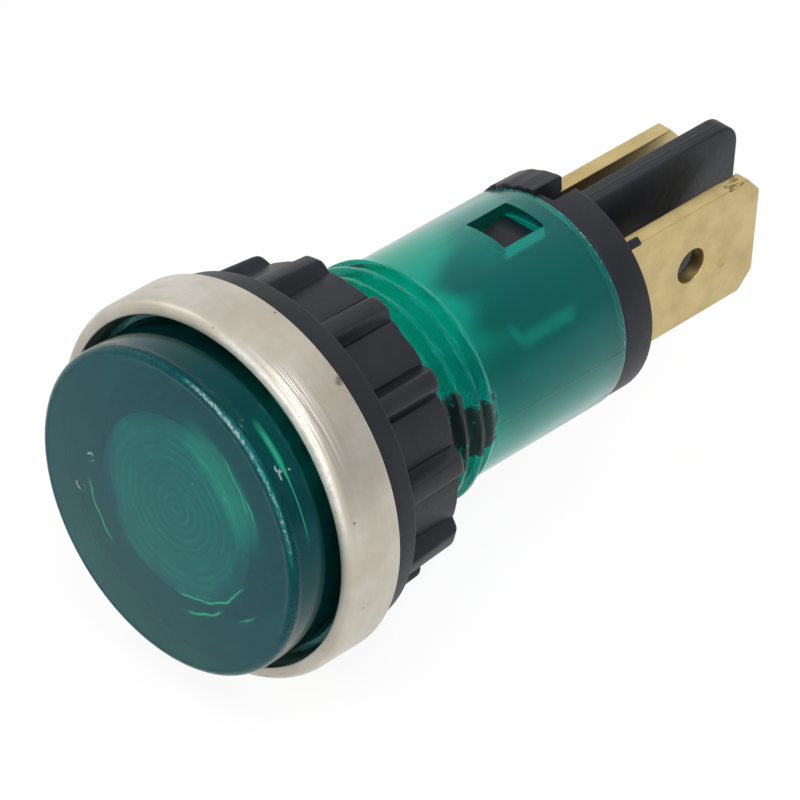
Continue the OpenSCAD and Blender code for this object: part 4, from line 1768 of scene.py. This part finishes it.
@dataclass
class Studio:
    """White surroundings with a darker side, soft lamps and the floor under the part."""

    floor_z: float = -9.12
    floor_half: float = 3000.0
    floor_grey: float = 0.8
    floor_glow: float = 1.06
    floor_share: float = 0.85
    world_fill: float = 0.72
    dark_side: Point3 = (0.725, 0.593, 0.338)
    dark_edges: Point2 = (0.45, 0.98)
    dark_level: float = 0.66
    lamps: Sequence[tuple[str, Point3, float, float]] = (
        ("front", (225.0, -400.0, 195.0), 120.0, 0.12),
        ("key", (200.0, -60.0, 420.0), 300.0, 0.22),
        ("side", (-360.0, -220.0, 200.0), 300.0, 0.08))

    def world(self) -> None:
        """White world, a little darker on one side for all but the camera."""
        world = bpy.data.worlds.new("studio")
        bpy.context.scene.world = world
        g = Graph(world)
        way = g.node("ShaderNodeTexCoord", output="Generated")
        facing = g.node("ShaderNodeVectorMath", {"operation": "DOT_PRODUCT"},
                        {0: way, 1: self.dark_side}, "Value")
        shade = 1.0 - facing.ramp(*self.dark_edges) * (1.0 - self.dark_level)
        camera, seen = self.rays(g)
        level = self.world_fill + seen * (shade - self.world_fill)
        level = level + camera * (1.0 - level)
        lit = g.node("ShaderNodeBackground", {}, {"Color": (1.0, 1.0, 1.0), "Strength": level})
        g.node("ShaderNodeOutputWorld", {}, {"Surface": lit})

    def rays(self, g: Graph) -> tuple[Signal, Signal]:
        """Which rays look at the surroundings.

        Args:
            g: the graph that asks.

        Returns:
            1 for a camera ray, and 1 for a camera, glossy or transmission ray.
        """
        camera, glossy, through = (g.node("ShaderNodeLightPath", output=f"Is {name} Ray")
                                   for name in ("Camera", "Glossy", "Transmission"))
        return camera, camera.at_least(glossy).at_least(through)

    def floor(self) -> None:
        """Pale floor that keeps a faint shadow."""
        half, z = self.floor_half * MM, self.floor_z * MM
        mesh = bpy.data.meshes.new("floor")
        mesh.from_pydata([(-half, -half, z), (half, -half, z), (half, half, z), (-half, half, z)],
                         [], [(0, 1, 2, 3)])
        piece = add_object("floor", mesh)
        g = Graph.material("studio_floor")
        matt = g.node("ShaderNodeBsdfDiffuse", {}, {"Color": (self.floor_grey,) * 3})
        glow = g.node("ShaderNodeEmission", {},
                      {"Color": (1.0, 1.0, 1.0), "Strength": self.floor_glow})
        share = self.rays(g)[1] * self.floor_share
        g.finish(g.node("ShaderNodeMixShader", {}, {0: share, 1: matt, 2: glow}))
        dress(piece, g.owner)

    def light(self) -> None:
        """Soft square lamps aimed at the part."""
        for name, place, size, level in self.lamps:
            data = bpy.data.lights.new(name, "AREA")
            data.shape, data.size = "SQUARE", size * MM
            away = Vector(place) * MM
            data.energy = level * 4 * math.pi * away.length_squared
            made = add_object(name, data)
            made.location = away
            made.rotation_euler = (-away).to_track_quat("-Z", "Y").to_euler()

    def build(self) -> None:
        """Builds the whole studio."""
        scene = bpy.context.scene
        scene.view_settings.view_transform = "Standard"
        self.world()
        self.floor()
        self.light()
        LOG.info("studio ready")


@dataclass
class Viewpoint:
    """Long-lens camera at the front right, above the lamp."""

    azimuth: float = 42.19
    elevation: float = 36.81
    roll: float = -3.30
    aside: float = 6.474
    above: float = 2.819
    distance: float = 240.119
    lens: float = 247.5
    sensor: float = 36.0
    clip: Point2 = (0.01, 20.0)

    def build(self) -> None:
        """Places the camera and makes it the scene's."""
        az, el, roll = (math.radians(v) for v in (self.azimuth, self.elevation, self.roll))
        ahead = Vector((-math.sin(az) * math.cos(el), math.cos(az) * math.cos(el), -math.sin(el)))
        flat = Vector((math.cos(az), math.sin(az), 0))
        rise = flat.cross(ahead)
        right = flat * math.cos(roll) - rise * math.sin(roll)
        up = right.cross(ahead)
        data = bpy.data.cameras.new("camera")
        data.lens, data.sensor_width = self.lens, self.sensor
        data.clip_start, data.clip_end = self.clip
        camera = add_object("camera", data)
        place = (right * self.aside + up * self.above - ahead * self.distance) * MM
        turn = Matrix((right, up, -ahead)).transposed().to_4x4()
        camera.matrix_world = Matrix.Translation(place) @ turn
        bpy.context.scene.camera = camera


def main() -> None:
    """Builds the part, the studio and the camera."""
    logging.basicConfig(level=logging.INFO, format="%(name)s %(message)s")
    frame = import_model()
    for assembly in (LensBody(), BezelRing(), PanelNut(), RearCap(), BladeTabs()):
        assembly.build()
    InnerLamp().dress_nodes(frame["nodes"])
    Studio().build()
    Viewpoint().build()
    LOG.info("sizes written")


if __name__ == "__main__":
    main()
